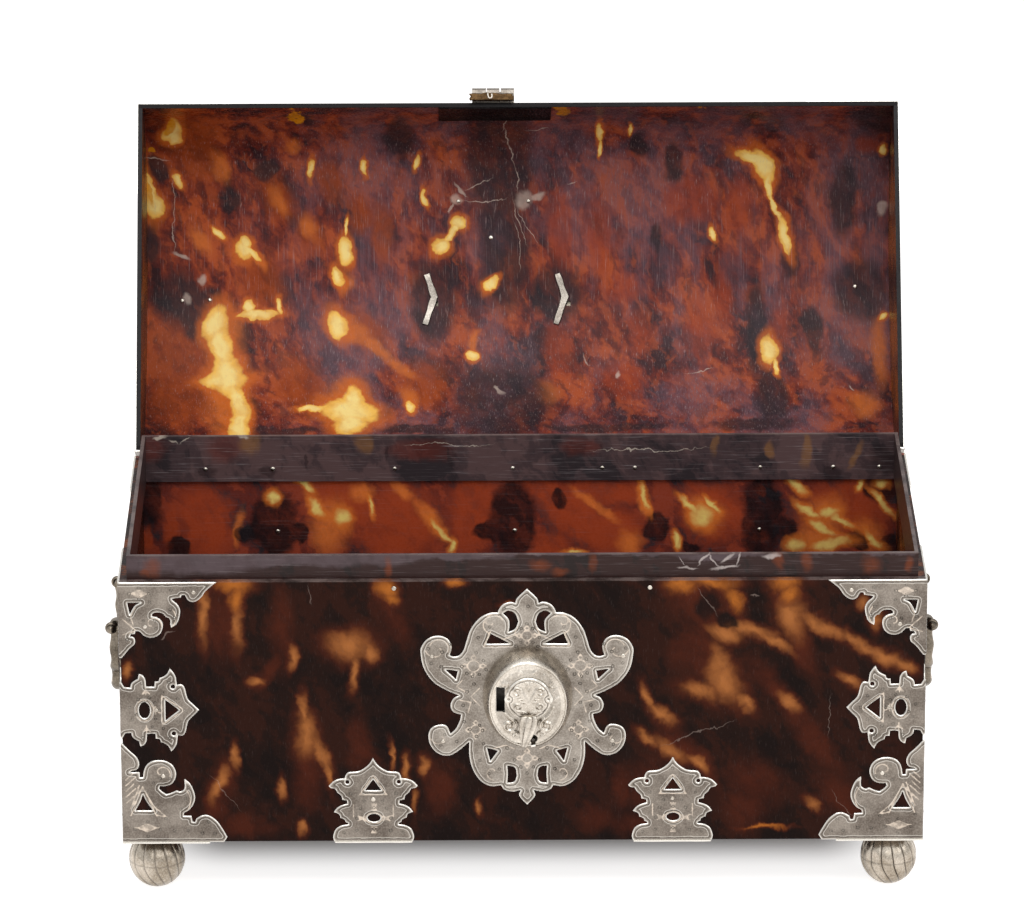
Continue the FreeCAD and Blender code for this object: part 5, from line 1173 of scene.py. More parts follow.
def lid_section():
    """Points and outward directions along the closed lid's outside, with the length so far."""
    rise = LID_HEIGHT - LID_WALL
    radius = ((HALF_DEPTH ** 2 + rise ** 2 - 2 * HALF_DEPTH * HAUNCH_RADIUS)
              / (2 * (rise - HAUNCH_RADIUS)))
    haunch_y = HALF_DEPTH - HAUNCH_RADIUS
    haunch_z = RIM + LID_WALL
    crown_z = RIM + LID_HEIGHT - radius
    lean = math.atan2(haunch_z - crown_z, haunch_y)
    rows = [(-HALF_DEPTH, RIM + LID_GAP, -1.0, 0.0)]
    for step in range(31):
        a = lean * step / 30
        rows.append((-haunch_y - HAUNCH_RADIUS * math.cos(a), haunch_z + HAUNCH_RADIUS * math.sin(a),
                     -math.cos(a), math.sin(a)))
    for step in range(1, 61):
        a = lean + (math.pi - 2 * lean) * step / 60
        rows.append((-radius * math.cos(a), crown_z + radius * math.sin(a),
                     -math.cos(a), math.sin(a)))
    rows += [(-y, z, -ny, nz) for y, z, ny, nz in reversed(rows[:31])]
    rows = np.array(rows)
    length = np.concatenate([[0], np.cumsum(np.hypot(*np.diff(rows[:, :2], axis=0).T))])
    return rows, length


SECTION, SECTION_LENGTH = lid_section()
SECTION_WHOLE = float(SECTION_LENGTH[-1])


def section_at(length):
    """Place and outward direction, Y and Z, at a length from the front rim."""
    values = [np.interp(length, SECTION_LENGTH, SECTION[:, column]) for column in range(4)]
    size = math.hypot(values[2], values[3])
    return values[0], values[1], values[2] / size, values[3] / size


def on_lid(x_side, start, way):
    """Lays a sheet round one end arris of the open lid: u over nought on the barrel, under nought
    on the end, v is the length along the section from a start."""
    def lay(u, v, height):
        y, z, out_y, out_z = section_at(start + way * v)
        past_end, lift = round_bend(u, height)
        return closed_lid(x_side * (HALF_WIDTH + past_end), y + lift * out_y, z + lift * out_z)
    return lay


def lid_mounts():
    def pair(name, outline, holes, start, way, node):
        pieces = [sheet_work(name % x_word, smooth_line(both_wings(outline)), holes,
                             on_lid(x_side, start, way), "lid", flip=x_side * way < 0)
                  for x_side, x_word in LEFT_RIGHT]
        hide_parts(node)

    for y_word, way, start in (("front", 1, 0.0), ("back", -1, SECTION_WHOLE)):
        pair("lid_" + y_word + "_%s_mount_sheet", TOP_CORNER,
             wing_holes(smooth_line(TOP_CORNER_HOLE)), start, way, "lid_%s_mounts" % y_word)
    pair("lid_%s_crown_mount_sheet", EDGE_WHOLE, edge_holes(), SECTION_WHOLE / 2, 1, "lid_crown_mounts")


# Feet

def band_faces(rows, columns, first=0):
    """Quads of a body whose points run row by row from a first, each row a closed ring."""
    faces = []
    for low in range(first, first + (rows - 1) * columns, columns):
        for column in range(columns):
            following = (column + 1) % columns
            faces.append((low + column, low + following, low + columns + following,
                          low + columns + column))
    return faces


def tube_faces(rows, columns):
    """The same with its ends fanned to two last points."""
    peak = rows * columns
    last = peak - columns
    faces = band_faces(rows, columns)
    for column in range(columns):
        following = (column + 1) % columns
        faces += [(peak, following, column), (peak + 1, last + column, last + following)]
    return faces


def feet():
    """Balls with slanting incised lines and a seam where their two halves meet."""
    ribs, rows, columns = 14, 57, 14 * 12
    for x_side, y_side, corner in corner_places():
        low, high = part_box(corner + "_foot")
        middle = (low + high) / 2
        radius = (high.x - low.x) / 2
        half = (high.z - low.z) / 2
        reach = math.acos(0.30)
        phase = 0.37 * (x_side + 2 * y_side)
        vertices, cuts = [], []
        for row in range(rows):
            height = -reach + 2 * reach * row / (rows - 1)
            lean = 0.34 * max(0.0, -height) ** 1.4 * 1.6 - 0.12 * max(0.0, height)
            for column in range(columns):
                turn = 2 * math.pi * column / columns
                rib = ((turn + phase) * ribs / (2 * math.pi)) % 1
                away = min(rib, 1 - rib) * 2 * math.pi / ribs * radius / MM * math.cos(height)
                groove = math.exp(-(away / 0.24) ** 2)
                seam = 0.5 * math.exp(-(height * radius / MM / 0.22) ** 2)
                swell = 0.20 * (1 - (2 * abs(rib - 0.5)) ** 2)
                dent = 0.0
                if corner == "front_right":
                    dent = 0.55 * math.exp(-((turn - 4.1) ** 2 + (height - 0.15) ** 2) / 0.05)
                size = radius - MM * (0.2 - swell + 0.26 * groove + 0.1 * seam + dent)
                around = turn + lean
                level = half * math.sin(height) / math.sin(reach)
                vertices.append(middle + Vector((size * math.cos(height) * math.cos(around),
                                                 size * math.cos(height) * math.sin(around), level)))
                cuts.append(max(groove, seam))
        vertices += [middle - Vector((0, 0, half)), middle + Vector((0, 0, half))]
        cuts += [0, 0]
        piece = new_piece(corner + "_foot_ball", vertices, tube_faces(rows, columns), FOOT_SILVER,
                          "base", [corner + "_foot"], 60)
        mark_cuts(piece, cuts)


# Lock

def scroll(x, y, size, start, turns, hand, steps=26):
    """A volute that runs inwards, as a line of points."""
    line = []
    for step in range(steps + 1):
        t = step / steps
        angle = start + hand * 2 * math.pi * turns * t
        radius = size * (1 - 0.82 * t)
        line.append((x + radius * math.cos(angle), y + radius * math.sin(angle)))
    return line


def arc_line(x, y, radius, start, end, steps=16):
    turns = [start + (end - start) * step / steps for step in range(steps + 1)]
    return [(x + radius * math.cos(a), y + radius * math.sin(a)) for a in turns]


def palmette_relief():
    """Raised lines of the disc: a stem that forks into two pairs of volutes, with leaves between,
    as (line, width, height)."""
    lines = [([(0, -6.4), (0, -2.4)], 1.2, 0.8),
             (oval_line(0, 4.6, 0.7, 1.2, 14) + [(0.7, 4.6)], 0.6, 0.6)]
    for side in (-1, 1):
        lines.append(([(0, -2.8), (side * 0.8, -0.6), (side * 1.7, 1.4), (side * 2.6, 3.0)], 0.85, 0.8))
        lines.append((scroll(side * 4.1, 2.7, 1.75, math.pi / 2 + side * 1.2, 1.3, -side), 0.6, 0.8))
        lines.append((scroll(side * 3.8, -2.8, 1.7, -math.pi / 2 - side * 0.4, 1.2, side), 0.6, 0.75))
        lines.append(([(0, -5.6), (side * 1.6, -4.8), (side * 2.9, -4.4)], 0.7, 0.6))
        lines.append((arc_line(side * 1.7, 5.0, 1.6, math.pi / 2 - side * 1.9,
                               math.pi / 2 + side * 1.2), 0.5, 0.5))
        for leaf in range(3):
            lines.append(([(side * (1.5 + 0.7 * leaf), -1.2 + 1.1 * leaf),
                           (side * (2.9 + 0.9 * leaf), -0.9 + 0.7 * leaf)], 0.45, 0.5))
    return lines


def relief_at(points, lines):
    height = np.zeros(len(points))
    for line, width, lift in lines:
        away = reach_of(points, line, False)
        height = np.maximum(height, lift * np.exp(-(away / (width * 0.62)) ** 2))
    return height


# Edges of the lock case sharper than this show as edges, degrees
DOME_ANGLE = 50


def lock_case():
    """Stepped oval dome: a round shoulder, a flat moulding, and a face with raised ornament."""
    (left, _, low), (right, back_y, high) = span("lock_case")
    x_middle, half_x = (left + right) / 2, (right - left) / 2
    z_middle, half_z = (low + high) / 2, (high - low) / 2
    tiers_out = [1.0, 1.0, 0.99, 0.976, 0.958, 0.937, 0.914, 0.89, 0.868, 0.85, 0.838, 0.822, 0.8, 0.76]
    tiers_up = [0.0, 0.8, 2.2, 3.6, 4.9, 6.1, 7.1, 7.9, 8.45, 8.75, 8.8, 8.5, 8.5, 8.66]
    rings = list(zip(tiers_out, tiers_up))
    face_rings = 43
    for step in range(1, face_rings):
        share = tiers_out[-1] * (1 - step / face_rings)
        rings.append((share, tiers_up[-1] + 0.5 * (1 - (share / tiers_out[-1]) ** 2)))
    columns = 216
    vertices = []
    shares = []
    for share, rise in rings:
        for column in range(columns):
            turn = 2 * math.pi * column / columns
            vertices.append((share * half_x * math.cos(turn), share * half_z * math.sin(turn), rise))
            shares.append(share)
    vertices = np.array(vertices)
    shares = np.array(shares)
    disc_z = sum(corner[2] for corner in span("lock_disc")) / 2 - z_middle
    lines = []
    for side in (-1, 1):
        lines.append((scroll(side * 6.6, -7.6, 2.7, math.pi / 2 + side * 0.3, 1.3, side), 0.8, 0.75))
        lines.append((scroll(side * 5.0, -11.0, 1.8, -math.pi / 2, 1.1, -side), 0.7, 0.6))
        lines.append((scroll(side * 8.8, 7.4, 1.7, -side * 0.4, 1.2, side), 0.6, 0.5))
        lines.append((arc_line(0, disc_z, 9.6, -math.pi / 2 + side * 0.5, -math.pi / 2 + side * 1.2),
                      0.8, 0.65))
        lines.append((arc_line(side * 4.4, 10.0, 3.0, math.pi / 2 - side * 1.2,
                               math.pi / 2 + side * 0.9), 0.6, 0.45))
        for leaf in range(5):
            turn = math.pi / 2 - side * (0.35 + 0.32 * leaf)
            tip = turn + side * 0.1
            lines.append(([(9.3 * math.cos(turn), disc_z + 9.3 * math.sin(turn)),
                           (10.9 * math.cos(tip), disc_z + 11.2 * math.sin(tip))], 0.5, 0.35))
    inner = shares < 0.74
    lift = np.zeros(len(vertices))
    lift[inner] = relief_at(vertices[inner][:, :2], lines)
    vertices[:, 2] += lift
    hammer = np.array([noise.noise(Vector((v[0] * 0.35, v[1] * 0.35, 1.3))) for v in vertices])
    vertices[:, 2] += 0.14 * hammer * (vertices[:, 2] > 3)
    top = [spot(x_middle + v[0], back_y - v[2], z_middle + v[1]) for v in vertices]
    cuts = list(np.where(inner, np.clip(0.35 - lift, 0, 0.35), 0.0))
    under = []
    inner_rings = ((0.955, 0.0), (0.945, 3.4), (0.9, 6.2), (0.84, 7.75), (0.5, 8.0))
    for share, rise in inner_rings:
        for column in range(columns):
            turn = 2 * math.pi * column / columns
            under.append(spot(x_middle + share * half_x * math.cos(turn), back_y - rise,
                              z_middle + share * half_z * math.sin(turn)))
    count = len(top)
    faces = band_faces(len(rings), columns)
    faces += [face[::-1] for face in band_faces(len(inner_rings), columns, count)]
    for column in range(columns):
        following = (column + 1) % columns
        faces.append((following, column, count + column, count + following))
    peak = len(top) + len(under)
    last = count - columns
    deep = peak - columns
    for column in range(columns):
        following = (column + 1) % columns
        faces.append((peak, last + column, last + following))
        faces.append((peak + 1, deep + following, deep + column))
    points = top + under + [spot(x_middle, back_y - 9.2, z_middle),
                            spot(x_middle, back_y - 7.95, z_middle)]
    piece = new_piece("lock_case_dome", points, faces, CASE_SILVER, "base", ["lock_case"],
                      DOME_ANGLE)
    turn_out(piece)
    mark_cuts(piece, cuts + [0.0] * (len(under) + 2))
    staple_slot = [(-1.5, -4.5), (1.5, -4.5), (1.5, 4.5), (-1.5, 4.5)]
    keyhole = [(-0.8, -3.0), (0.8, -3.0), (0.8, 0.2), *arc_line(0, 1.3, 1.5, -0.8, math.pi + 0.8, 14),
               (-0.8, 0.2)]
    pierce(piece, [moved(staple_slot, -7.8, RIM - 40.6), moved(keyhole, 3.6, RIM - 56.7)],
           back_y - 12, back_y - 6.4)


def pierce(piece, outlines, near, far):
    """Cuts straight holes through a closed piece along Y, between two depths."""
    cutter_mesh = bpy.data.meshes.new("cutter")
    made = bmesh.new()
    for outline in outlines:
        rings = [[made.verts.new(spot(x, y, z)) for x, z in outline] for y in (near, far)]
        count = len(outline)
        made.faces.new(rings[0])
        made.faces.new(rings[1][::-1])
        for i in range(count):
            j = (i + 1) % count
            made.faces.new((rings[0][j], rings[0][i], rings[1][i], rings[1][j]))
    bmesh.ops.recalc_face_normals(made, faces=made.faces)
    made.to_mesh(cutter_mesh)
    made.free()
    cutter = placed("cutter", cutter_mesh)
    modifier = piece.modifiers.new("cut", "BOOLEAN")
    modifier.operation = "DIFFERENCE"
    modifier.solver = "EXACT"
    modifier.object = cutter
    settle(piece)
    bpy.data.objects.remove(cutter)
    bpy.data.meshes.remove(cutter_mesh)
    piece.data.shade_smooth()
    piece.data.set_sharp_from_angle(angle=math.radians(DOME_ANGLE))


def settle(piece):
    """Puts the evaluated mesh in place of the piece's own and takes its modifiers off."""
    bpy.context.view_layer.update()
    graph = bpy.context.evaluated_depsgraph_get()
    mesh = bpy.data.meshes.new_from_object(piece.evaluated_get(graph))
    piece.modifiers.clear()
    old = piece.data
    piece.data = mesh
    bpy.data.meshes.remove(old)


def ring_solid(name, profile, place, way, sides, finish, body):
    """A turned body: a profile of (radius, height) swung round an axis through a place."""
    axis = Vector(way).normalized()
    side = axis.orthogonal().normalized()
    other = axis.cross(side)
    vertices = []
    for radius, height in profile:
        for column in range(sides):
            turn = 2 * math.pi * column / sides
            vertices.append(place + (axis * height + side * radius * math.cos(turn)
                                     + other * radius * math.sin(turn)) * MM)
    vertices += [place + axis * profile[0][1] * MM, place + axis * profile[-1][1] * MM]
    return new_piece(name, vertices, tube_faces(len(profile), sides), finish, body)


def lock_disc():
    """Applied round disc with a rolled rim, a raised palmette and an ear on each side."""
    (left, _, low), (right, back_y, high) = span("lock_disc")
    x_middle = (left + right) / 2
    z_middle = (low + high) / 2
    radius = 7.9
    ear = 7.0
    outline = []
    for step in range(120):
        turn = 2 * math.pi * step / 120
        reach = radius
        for side in (0, math.pi):
            away = abs((turn - side + math.pi) % (2 * math.pi) - math.pi)
            reach += max(0.0, 0.5 * (1 - (away / 0.2) ** 2)) if away < 0.2 else 0.0
        outline.append((reach * math.cos(turn), reach * math.sin(turn)))
    holes = [oval_line(side * ear, 0, 0.45, 0.45, 10) for side in (-1, 1)]
    lines = palmette_relief()
    lines.append((oval_line(0, 0, radius - 0.5, radius - 0.5, 60) + [(radius - 0.5, 0)], 0.6, 0.45))
    lines.append((oval_line(0, 0, radius - 1.7, radius - 1.7, 60) + [(radius - 1.7, 0)], 0.3, 0.2))

    def lay(u, v, height):
        if height > 0.05:
            spread = math.hypot(u, v) / radius
            height += 0.2 * (1 - min(1.0, spread) ** 2)
            height += float(relief_at(np.array([[u, v]]), lines)[0]) * 0.58
        return spot(x_middle + u, back_y - height + 0.5, z_middle + v)

    sheet_work("lock_disc_relief", outline, holes, lay, "base", ["lock_disc"], grain=0.3,
               finish=CASE_SILVER, thickness=0.75)


def keyhole_cover():
    """Fluted drop, twisted and slightly bent to the left, under the eye that it swings on."""
    (left, near, low), (right, far, top) = span("keyhole_cover")
    x_middle = (left + right) / 2
    y_middle = (near + far) / 2
    length = top - low
    thick = (far - near) / 2 - 0.02
    rows, columns = 44, 60
    vertices, cuts = [], []
    for row in range(rows):
        t = row / (rows - 1)
        drop = 0.6 + t * (length - 0.6)
        size = 0.9 + 1.65 * math.sin(math.pi * (0.12 + 0.88 * t) ** 0.66) + 0.3 * (1 - t)
        if row in (0, rows - 1):
            size *= 0.5
        for column in range(columns):
            turn = 2 * math.pi * column / columns
            flute = math.cos(5 * turn + 5.0 * t)
            reach = size * (1 + 0.16 * flute)
            vertices.append(spot(x_middle - 1.5 * t * t + reach * math.cos(turn),
                                 y_middle + min(thick * reach / 3.3 * math.sin(turn), 0.9), top - drop))
            cuts.append(0.45 * max(0.0, -flute))
    vertices += [spot(x_middle, y_middle, top - 0.5), spot(x_middle - 1.5, y_middle, low)]
    cuts += [0, 0]
    faces = [face[::-1] for face in tube_faces(rows, columns)]
    piece = new_piece("keyhole_cover_drop", vertices, faces, CASE_SILVER, "cover",
                      ["keyhole_cover"], 70)
    mark_cuts(piece, cuts)


# Handles

BAIL_OUTER = [
    (0.838, 0.075, 1), (0.985, 0.075, 1), (0.985, -0.10), (1.02, -0.19), (1.062, -0.32), (1.03, -0.45),
    (0.93, -0.55), (0.82, -0.60, 1), (0.835, -0.68), (0.75, -0.80), (0.60, -0.88), (0.44, -0.90),
    (0.33, -0.865, 1), (0.25, -0.90), (0.13, -0.915), (0.07, -0.96), (0, -1.0, 1)]
BAIL_INNER = [
    (0.838, 0.075, 1), (0.838, -0.10), (0.86, -0.24), (0.84, -0.38), (0.72, -0.50), (0.60, -0.55, 1),
    (0.60, -0.63), (0.52, -0.71), (0.40, -0.75), (0.27, -0.755, 1), (0.15, -0.79), (0, -0.745, 1)]


def bail_outline(half, length):
    outer = [(x * half, y * length) + tuple(c) for x, y, *c in BAIL_OUTER]
    inner = [(x * half, y * length) + tuple(c) for x, y, *c in BAIL_INNER]
    right = inner[::-1][:-1] + outer
    left = [(-p[0],) + tuple(p[1:]) for p in reversed(right)][1:-1]
    return right + left


def cast_bail(name, node, half, length, lay_flat, body, flip):
    """Cast drop handle with scrolled shoulders and a palmette, flat behind and round in front."""
    outline = smooth_line(bail_outline(half, length), 0.6)
    strokes = []
    for side in (-1, 1):
        for x, y, turn in ((0.93, -0.33, 0.2), (0.72, -0.71, -0.5), (0.46, -0.82, -1.0)):
            strokes.append(scroll(side * x * half, y * length, 1.5, turn * side + math.pi / 2, 0.8,
                                  -side))
        strokes.append([(side * 0.05 * half, -0.8 * length), (side * 0.17 * half, -0.86 * length)])

    def lay(u, v, height, rim):
        swell = 1 - (1 - min(rim / 1.7, 1.0)) ** 2
        if height > 0.05:
            height = 1.1 + 1.75 * math.sqrt(swell) + 0.25 * math.cos(v / length * 24) * swell
        return lay_flat(u, v, height)

    return sheet_work(name, outline, [], lay, body, [node], grain=0.75, strokes=strokes,
                      flip=flip, finish=CAST_SILVER, thickness=2.2, with_rim=True)


def eye(name, place, out, along, body):
    """Ring eye on a square shank; the ball in which the handle's pivot ends is made by pivot_ends."""
    out = Vector(out)
    along = Vector(along)
    other = out.cross(along)
    vertices, faces = [], []
    around, tube = 28, 12
    for step in range(around):
        turn = 2 * math.pi * step / around
        centre = 1.62 * (math.cos(turn) * out + math.sin(turn) * other)
        for side in range(tube):
            lean = 2 * math.pi * side / tube
            reach = 0.62 * math.cos(lean)
            vertices.append(centre + reach * centre.normalized() + 0.85 * math.sin(lean) * along)
    for step in range(around):
        following = (step + 1) % around
        for side in range(tube):
            beside = (side + 1) % tube
            faces.append((step * tube + side, following * tube + side, following * tube + beside,
                          step * tube + beside))
    start = len(vertices)
    for depth, across, thick in ((-5.4, 1.25, 0.95), (-3.0, 1.1, 0.85), (-2.1, 0.9, 0.8),
                                 (-1.5, 0.55, 0.6)):
        for side in range(16):
            turn = 2 * math.pi * side / 16
            c, s = math.cos(turn), math.sin(turn)
            vertices.append(depth * out + across * math.copysign(abs(c) ** 0.6, c) * other
                            + thick * math.copysign(abs(s) ** 0.6, s) * along)
    faces += band_faces(4, 16, start)
    faces.append(tuple(range(start, start + 16))[::-1])
    faces.append(tuple(range(start + 48, start + 64)))
    piece = new_piece(name, [place + v * MM for v in vertices], faces, CAST_SILVER, body)
    turn_out(piece)
    mark_cuts(piece)
    return piece


def turn_out(piece):
    made = bmesh.new()
    made.from_mesh(piece.data)
    bmesh.ops.recalc_face_normals(made, faces=made.faces)
    made.to_mesh(piece.data)
    made.free()


def pivot_ends(name, middle, along, half, body):
    """The bail's two pivots, each with a ball outside its eye."""
    along = Vector(along)
    profile = [(0.2, -1.5)]
    for step in range(1, 12):
        angle = math.pi * (step / 12)
        profile.append((1.5 * math.sin(angle), -1.5 * math.cos(angle)))
    profile.append((0.2, 1.5))
    stem = [(1.0, -5.4), (1.0, -2.9), (0.95, -1.4)]
    for side, end in ((-1, "near"), (1, "far")):
        place = middle + along * side * (half + 2.5) * MM
        for word, shape in (("ball", profile), ("pin", stem)):
            piece = ring_solid("%s_%s_%s" % (name, word, end), shape, place, along * side, 24,
                               CAST_SILVER, body)
            turn_out(piece)
            mark_cuts(piece)


def end_handles():
    out_x, half, length = 145.4, 22.2, 31.0
    for x_side, word in LEFT_RIGHT:
        pivot_z = pivot_of(word + "_bail")[2]

        def lay_flat(u, v, height):
            return spot(x_side * (out_x - 2.2 + height), u, pivot_z + v)

        cast_bail(word + "_bail_cast", word + "_bail", half, length, lay_flat, word + "_bail",
                  flip=x_side > 0)
        pivot_ends(word + "_bail_pivot", spot(x_side * out_x, 0, pivot_z), (0, 1, 0), half,
                   word + "_bail")
        eyes = [eye("%s_eye_%s" % (word, y_word), spot(x_side * out_x, y_side * (half + 0.9), pivot_z),
                    (x_side, 0, 0), (0, 1, 0), "base") for y_side, y_word in FRONT_BACK]
        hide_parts(word + "_handle_eyes")
        boss(word, x_side, pivot_z - 2.5)


def boss(word, x_side, z):
    """Chased flower boss between the two eyes."""
    rows, columns = 34, 120
    vertices, cuts = [], []
    for row in range(rows):
        share = 1 - row / (rows - 1)
        for column in range(columns):
            turn = 2 * math.pi * column / columns
            petal = abs(math.cos(4 * turn))
            inner = abs(math.sin(4 * turn))
            radius = 8.0 * share * (0.86 + 0.14 * petal if share > 0.8 else 1.0)
            rise = 1.0 + 1.7 * math.sin(math.pi * min(1.0, (1 - share) * 1.6) / 2)
            if share > 0.34:
                rise += 0.45 * petal ** 0.5 * math.sin(math.pi * (share - 0.34) / 0.66)
                cuts.append(0.5 * (1 - petal) ** 2)
            else:
                knob = math.cos(math.pi / 2 * share / 0.34) ** 0.7
                rise = 2.35 + 1.2 * knob - 0.12 * inner * share * 3
                cuts.append(0.0)
            if row == 0:
                rise = 0.0
            vertices.append(spot(x_side * (HALF_WIDTH + rise), radius * math.cos(turn),
                                 z + radius * math.sin(turn)))
    vertices += [spot(x_side * HALF_WIDTH, 0, z), spot(x_side * (HALF_WIDTH + 3.55), 0, z)]
    cuts += [0, 0]
    piece = new_piece(word + "_boss", vertices, tube_faces(rows, columns), CASE_SILVER, "base",
                      [word + "_rosette"], 70)
    turn_out(piece)
    mark_cuts(piece, cuts)


def crown_handle():
    half, length = 23.8, 31.0
    x_middle, pivot_y, pivot_z = pivot_of("top_bail")

    def lay_flat(u, v, height):
        return spot(x_middle + u, pivot_y - 1.1 + height, pivot_z + v)

    cast_bail("top_bail_cast", "top_bail", half, length, lay_flat, "top_bail", flip=True)
    pivot_ends("top_bail_pivot", spot(x_middle, pivot_y, pivot_z), (1, 0, 0), half, "top_bail")
    out = opened((0, 0, 1)) - opened((0, 0, 0))
    for side, word in LEFT_RIGHT:
        eye("top_eye_" + word, spot(x_middle + side * (half + 0.9), pivot_y, pivot_z), out, (1, 0, 0),
            "lid")


# Small work that repeats or follows a line, grown by node trees

class Growth:
    """A geometry node tree with its inputs, run once on an object's mesh."""

    def __init__(self, name):
        self.tree = bpy.data.node_groups.new(name, "GeometryNodeTree")
        self.keys = {}
        self.tree.interface.new_socket("Geometry", in_out="INPUT", socket_type="NodeSocketGeometry")
        self.tree.interface.new_socket("Geometry", in_out="OUTPUT", socket_type="NodeSocketGeometry")
        self.start = self.tree.nodes.new("NodeGroupInput")
        self.end = self.tree.nodes.new("NodeGroupOutput")

    def input(self, name, kind="NodeSocketFloat"):
        made = self.tree.interface.new_socket(name, in_out="INPUT", socket_type=kind)
        self.keys[name] = made.identifier
        return self.start.outputs[name]

    def node(self, kind, settings=(), **links):
        made = self.tree.nodes.new(kind)
        for key, value in settings:
            setattr(made, key, value)
        for key, value in links.items():
            socket = made.inputs[key.replace("_", " ")]
            if isinstance(value, bpy.types.NodeSocket):
                self.tree.links.new(value, socket)
            else:
                socket.default_value = value
        return made

    def close(self, instances):
        real = self.node("GeometryNodeRealizeInstances", Geometry=instances)
        smooth = self.node("GeometryNodeSetShadeSmooth", Geometry=real.outputs[0])
        self.input("Finish", "NodeSocketMaterial")
        coat = self.node("GeometryNodeSetMaterial", Geometry=smooth.outputs[0],
                         Material=self.start.outputs["Finish"])
        self.tree.links.new(coat.outputs[0], self.end.inputs[0])

    def run(self, piece, **values):
        modifier = piece.modifiers.new("growth", "NODES")
        modifier.node_group = self.tree
        for name, value in values.items():
            modifier[self.keys[name.replace("_", " ")]] = value
        settle(piece)


def head_growth(ring):
    """A small head on every point, along its "out" direction: a dome, or a punched ring."""
    growth = Growth("punched_rings" if ring else "rivet_heads")
    across = growth.input("Head Radius")
    height = growth.input("Head Height")
    if ring:
        path = growth.node("GeometryNodeCurvePrimitiveCircle", Resolution=10, Radius=across)
        wall = growth.node("GeometryNodeCurvePrimitiveCircle", Resolution=5, Radius=height)
        head = growth.node("GeometryNodeCurveToMesh", Curve=path.outputs[0]).outputs[0]
        growth.tree.links.new(wall.outputs[0], head.node.inputs[1])
    else:
        ball = growth.node("GeometryNodeMeshUVSphere", Segments=14, Rings=8, Radius=1.0)
        size = growth.node("ShaderNodeCombineXYZ", X=across, Y=across, Z=height)
        head = growth.node("GeometryNodeTransform", Geometry=ball.outputs[0],
                           Scale=size.outputs[0]).outputs[0]
    out = growth.node("GeometryNodeInputNamedAttribute", [("data_type", "FLOAT_VECTOR")], Name="out")
    size = growth.node("GeometryNodeInputNamedAttribute", [("data_type", "FLOAT")], Name="size")
    turn = growth.node("FunctionNodeAlignRotationToVector", [("axis", "Z")], Vector=out.outputs[0])
    spread = growth.node("GeometryNodeInstanceOnPoints", Points=growth.start.outputs["Geometry"],
                         Instance=head, Rotation=turn.outputs[0], Scale=size.outputs[0])
    growth.close(spread.outputs[0])
    return growth


def heads(name, growth, marks, finish, radius, height, body, stands_for=()):
    """One mesh of heads at the marks, each a (place, direction out)."""
    mesh = bpy.data.meshes.new(name)
    mesh.from_pydata([tuple(place) for place, _ in marks], [], [])
    picked = random.Random(7)
    out = mesh.attributes.new("out", "FLOAT_VECTOR", "POINT")
    out.data.foreach_set("vector", [value for _, way in marks for value in way])
    size = mesh.attributes.new("size", "FLOAT", "POINT")
    size.data.foreach_set("value", [picked.uniform(0.9, 1.1) for _ in marks])
    piece = placed(name, mesh)
    growth.run(piece, Head_Radius=radius * MM, Head_Height=height * MM, Finish=finish)
    mark_cuts(piece)
    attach(piece, body)
    if stands_for:
        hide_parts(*stands_for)


def rivet_marks(node):
    """Foot and direction of each rivet of a CAD node: a pyramid over a six-sided foot."""
    mesh = nodes[node].data
    places = sorted({tuple(round(value, 7) for value in vertex.co) for vertex in mesh.vertices})
    groups = []
    for place in places:
        place = Vector(place)
        near = [group for group in groups if min((place - other).length for other in group) < 1.7 * MM]
        merged = [place] + [other for group in near for other in group]
        groups = [group for group in groups if not any(group is other for other in near)] + [merged]
    marks = []
    for group in groups:
        middle = sum(group, Vector()) / len(group)
        tip = min(group, key=lambda point: (point - middle).length)
        foot = (middle * len(group) - tip) / (len(group) - 1)
        marks.append((foot, (tip - foot).normalized()))
    return marks


def rivets_and_rings():
    domes = head_growth(False)
    heads("box_rivet_heads", domes, rivet_marks("box_rivets"), CASE_SILVER, 0.85, 0.45, "base",
          ["box_rivets"])
    heads("lid_rivet_heads", domes, rivet_marks("lid_rivets"), CASE_SILVER, 0.85, 0.45, "lid",
          ["lid_rivets"])
    down = (closed_lid(0, 0, 0) - closed_lid(0, 0, 1)).normalized()
    inner = [(closed_lid(x, y, RIM + LID_HEIGHT - LID_PLATE - 0.05 - y * y / 190), down)
             for x, y in ((-125.5, -1.6), (-115.2, -1.8), (125.9, -6.0))]
    heads("lid_inner_rivet_heads", domes, inner, CASE_SILVER, 0.9, 0.5, "lid")
    rings = head_growth(True)
    heads("base_punched_rings", rings, punched, RING_SILVER, 0.48, 0.17, "base")


def wire_growth():
    """A round wire along the mesh's edges."""
    growth = Growth("bent_wire")
    radius = growth.input("Wire Radius")
    line = growth.node("GeometryNodeMeshToCurve", Mesh=growth.start.outputs["Geometry"])
    wall = growth.node("GeometryNodeCurvePrimitiveCircle", Resolution=10, Radius=radius)
    wire = growth.node("GeometryNodeCurveToMesh", Curve=line.outputs[0])
    growth.tree.links.new(wall.outputs[0], wire.inputs[1])
    wire.inputs["Fill Caps"].default_value = True
    growth.close(wire.outputs[0])
    return growth


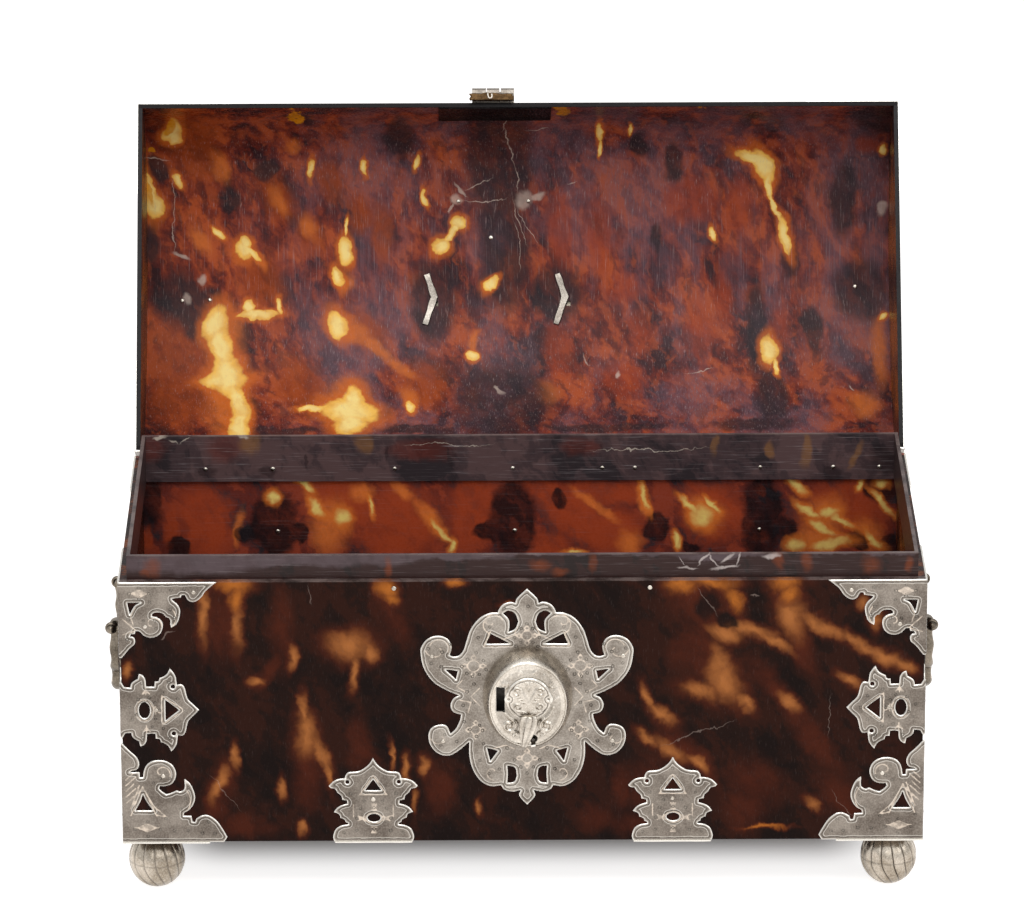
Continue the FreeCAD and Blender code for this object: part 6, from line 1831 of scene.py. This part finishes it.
def hasp_end():
    """The dark strip in the lid's front wall, the torn strap end over it and the wire loop."""
    def on_wall(u, v, height):
        y, z, out_y, out_z = section_at(0.5 + v)
        inset = LID_PLATE - 0.05 + height
        return closed_lid(-8.5 + u, y - inset * out_y, z - inset * out_z)

    half = 20.85
    outline = smooth_line([(-half, 0.1, 1), (-7, 0.0), (8, 0.1), (half, 0.0, 1), (half - 0.3, 16.6, 1),
                           (9, 16.9), (-6, 16.7), (-half, 17.0, 1)])
    sheet_work("hasp_strip", outline, [], on_wall, "lid", ["hasp_backing_strip"], grain=1.2,
               flip=True, finish=DARK, thickness=0.5)

    torn = [(-8.0, 0.0, 1), (8.0, 0.0, 1), (8.3, 2.3, 1), (7.6, 2.9, 1), (7.9, 3.8, 1), (5.4, 4.1, 1),
            (4.2, 3.7, 1), (2.6, 4.2, 1), (0.4, 4.6, 1), (-1.0, 4.4, 1), (-2.4, 4.7, 1), (-4.2, 3.9, 1),
            (-6.0, 4.3, 1), (-8.3, 4.0, 1), (-7.6, 2.4, 1), (-8.2, 1.2, 1)]

    def over_knuckle(u, v, height):
        wave = 0.3 * noise.noise(Vector((u * 0.5, v * 0.5, 2.0)))
        return closed_lid(-9.8 + u, -HALF_DEPTH - 0.15 - 0.62 * v, RIM - 2.6 - height + wave)

    sheet_work("torn_strap", smooth_line(torn), [], over_knuckle, "lid", grain=0.7, finish=OLD_GILT,
               thickness=0.9)
    loop = [(-11.2, 2.5), (-11.1, 1.8), (-10.9, 1.1), (-10.5, 0.75), (-10.1, 0.75), (-9.7, 1.1),
            (-9.6, 1.8), (-9.8, 2.4)]
    mesh = bpy.data.meshes.new("wire_loop")
    mesh.from_pydata([closed_lid(x, -HALF_DEPTH - out, RIM - 3.8) for x, out in loop],
                     [(i, i + 1) for i in range(len(loop) - 1)], [])
    piece = placed("wire_loop", mesh)
    wire_growth().run(piece, Wire_Radius=0.35 * MM, Finish=CASE_SILVER)
    mark_cuts(piece)
    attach(piece, "lid")


def split_legs():
    """The split pins' four legs, hammered flat against the crown's inside."""
    crown = RIM + LID_HEIGHT - LID_PLATE
    rows = 9
    splay = math.radians(18)
    c, s = math.cos(splay), math.sin(splay)
    for side, x_word in LEFT_RIGHT:
        for way, y_word in FRONT_BACK:
            length = 9.6 if way < 0 else 11.6
            vertices = []
            for row in range(rows):
                t = row / (rows - 1)
                along = -0.6 + length * t
                half = 1.45 - 0.3 * t + 0.12 * math.sin(9 * t + side)
                thick = (0.95 - 0.35 * t) * (0.5 if row == rows - 1 else 1)
                drop = 0.1 + 0.4 * t + (way * along * c - 2.4) ** 2 / 190
                for u, h in ((-half, 0.0), (-half * 0.8, thick), (half * 0.8, thick), (half, 0.0)):
                    vertices.append(closed_lid(-7.0 + side * 24.4 + u * c - along * s,
                                               way * (along * c + u * s) - 2.4, crown - drop - h))
            faces = band_faces(rows, 4) + [(0, 1, 2, 3), tuple(range(rows * 4 - 4, rows * 4))]
            piece = new_piece("split_leg_%s_%s" % (x_word, y_word), vertices, faces, SILVER, "lid",
                              smooth_angle=30)
            turn_out(piece)
            mark_cuts(piece)
    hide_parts("top_handle_eyes")


def build():
    dress_nodes()
    box_corner_mounts()
    base_mounts()
    escutcheon()
    feet()
    lock_case()
    lock_disc()
    keyhole_cover()
    end_handles()
    crown_handle()
    lid_mounts()
    hasp_end()
    split_legs()
    rivets_and_rings()


set_studio()
build()
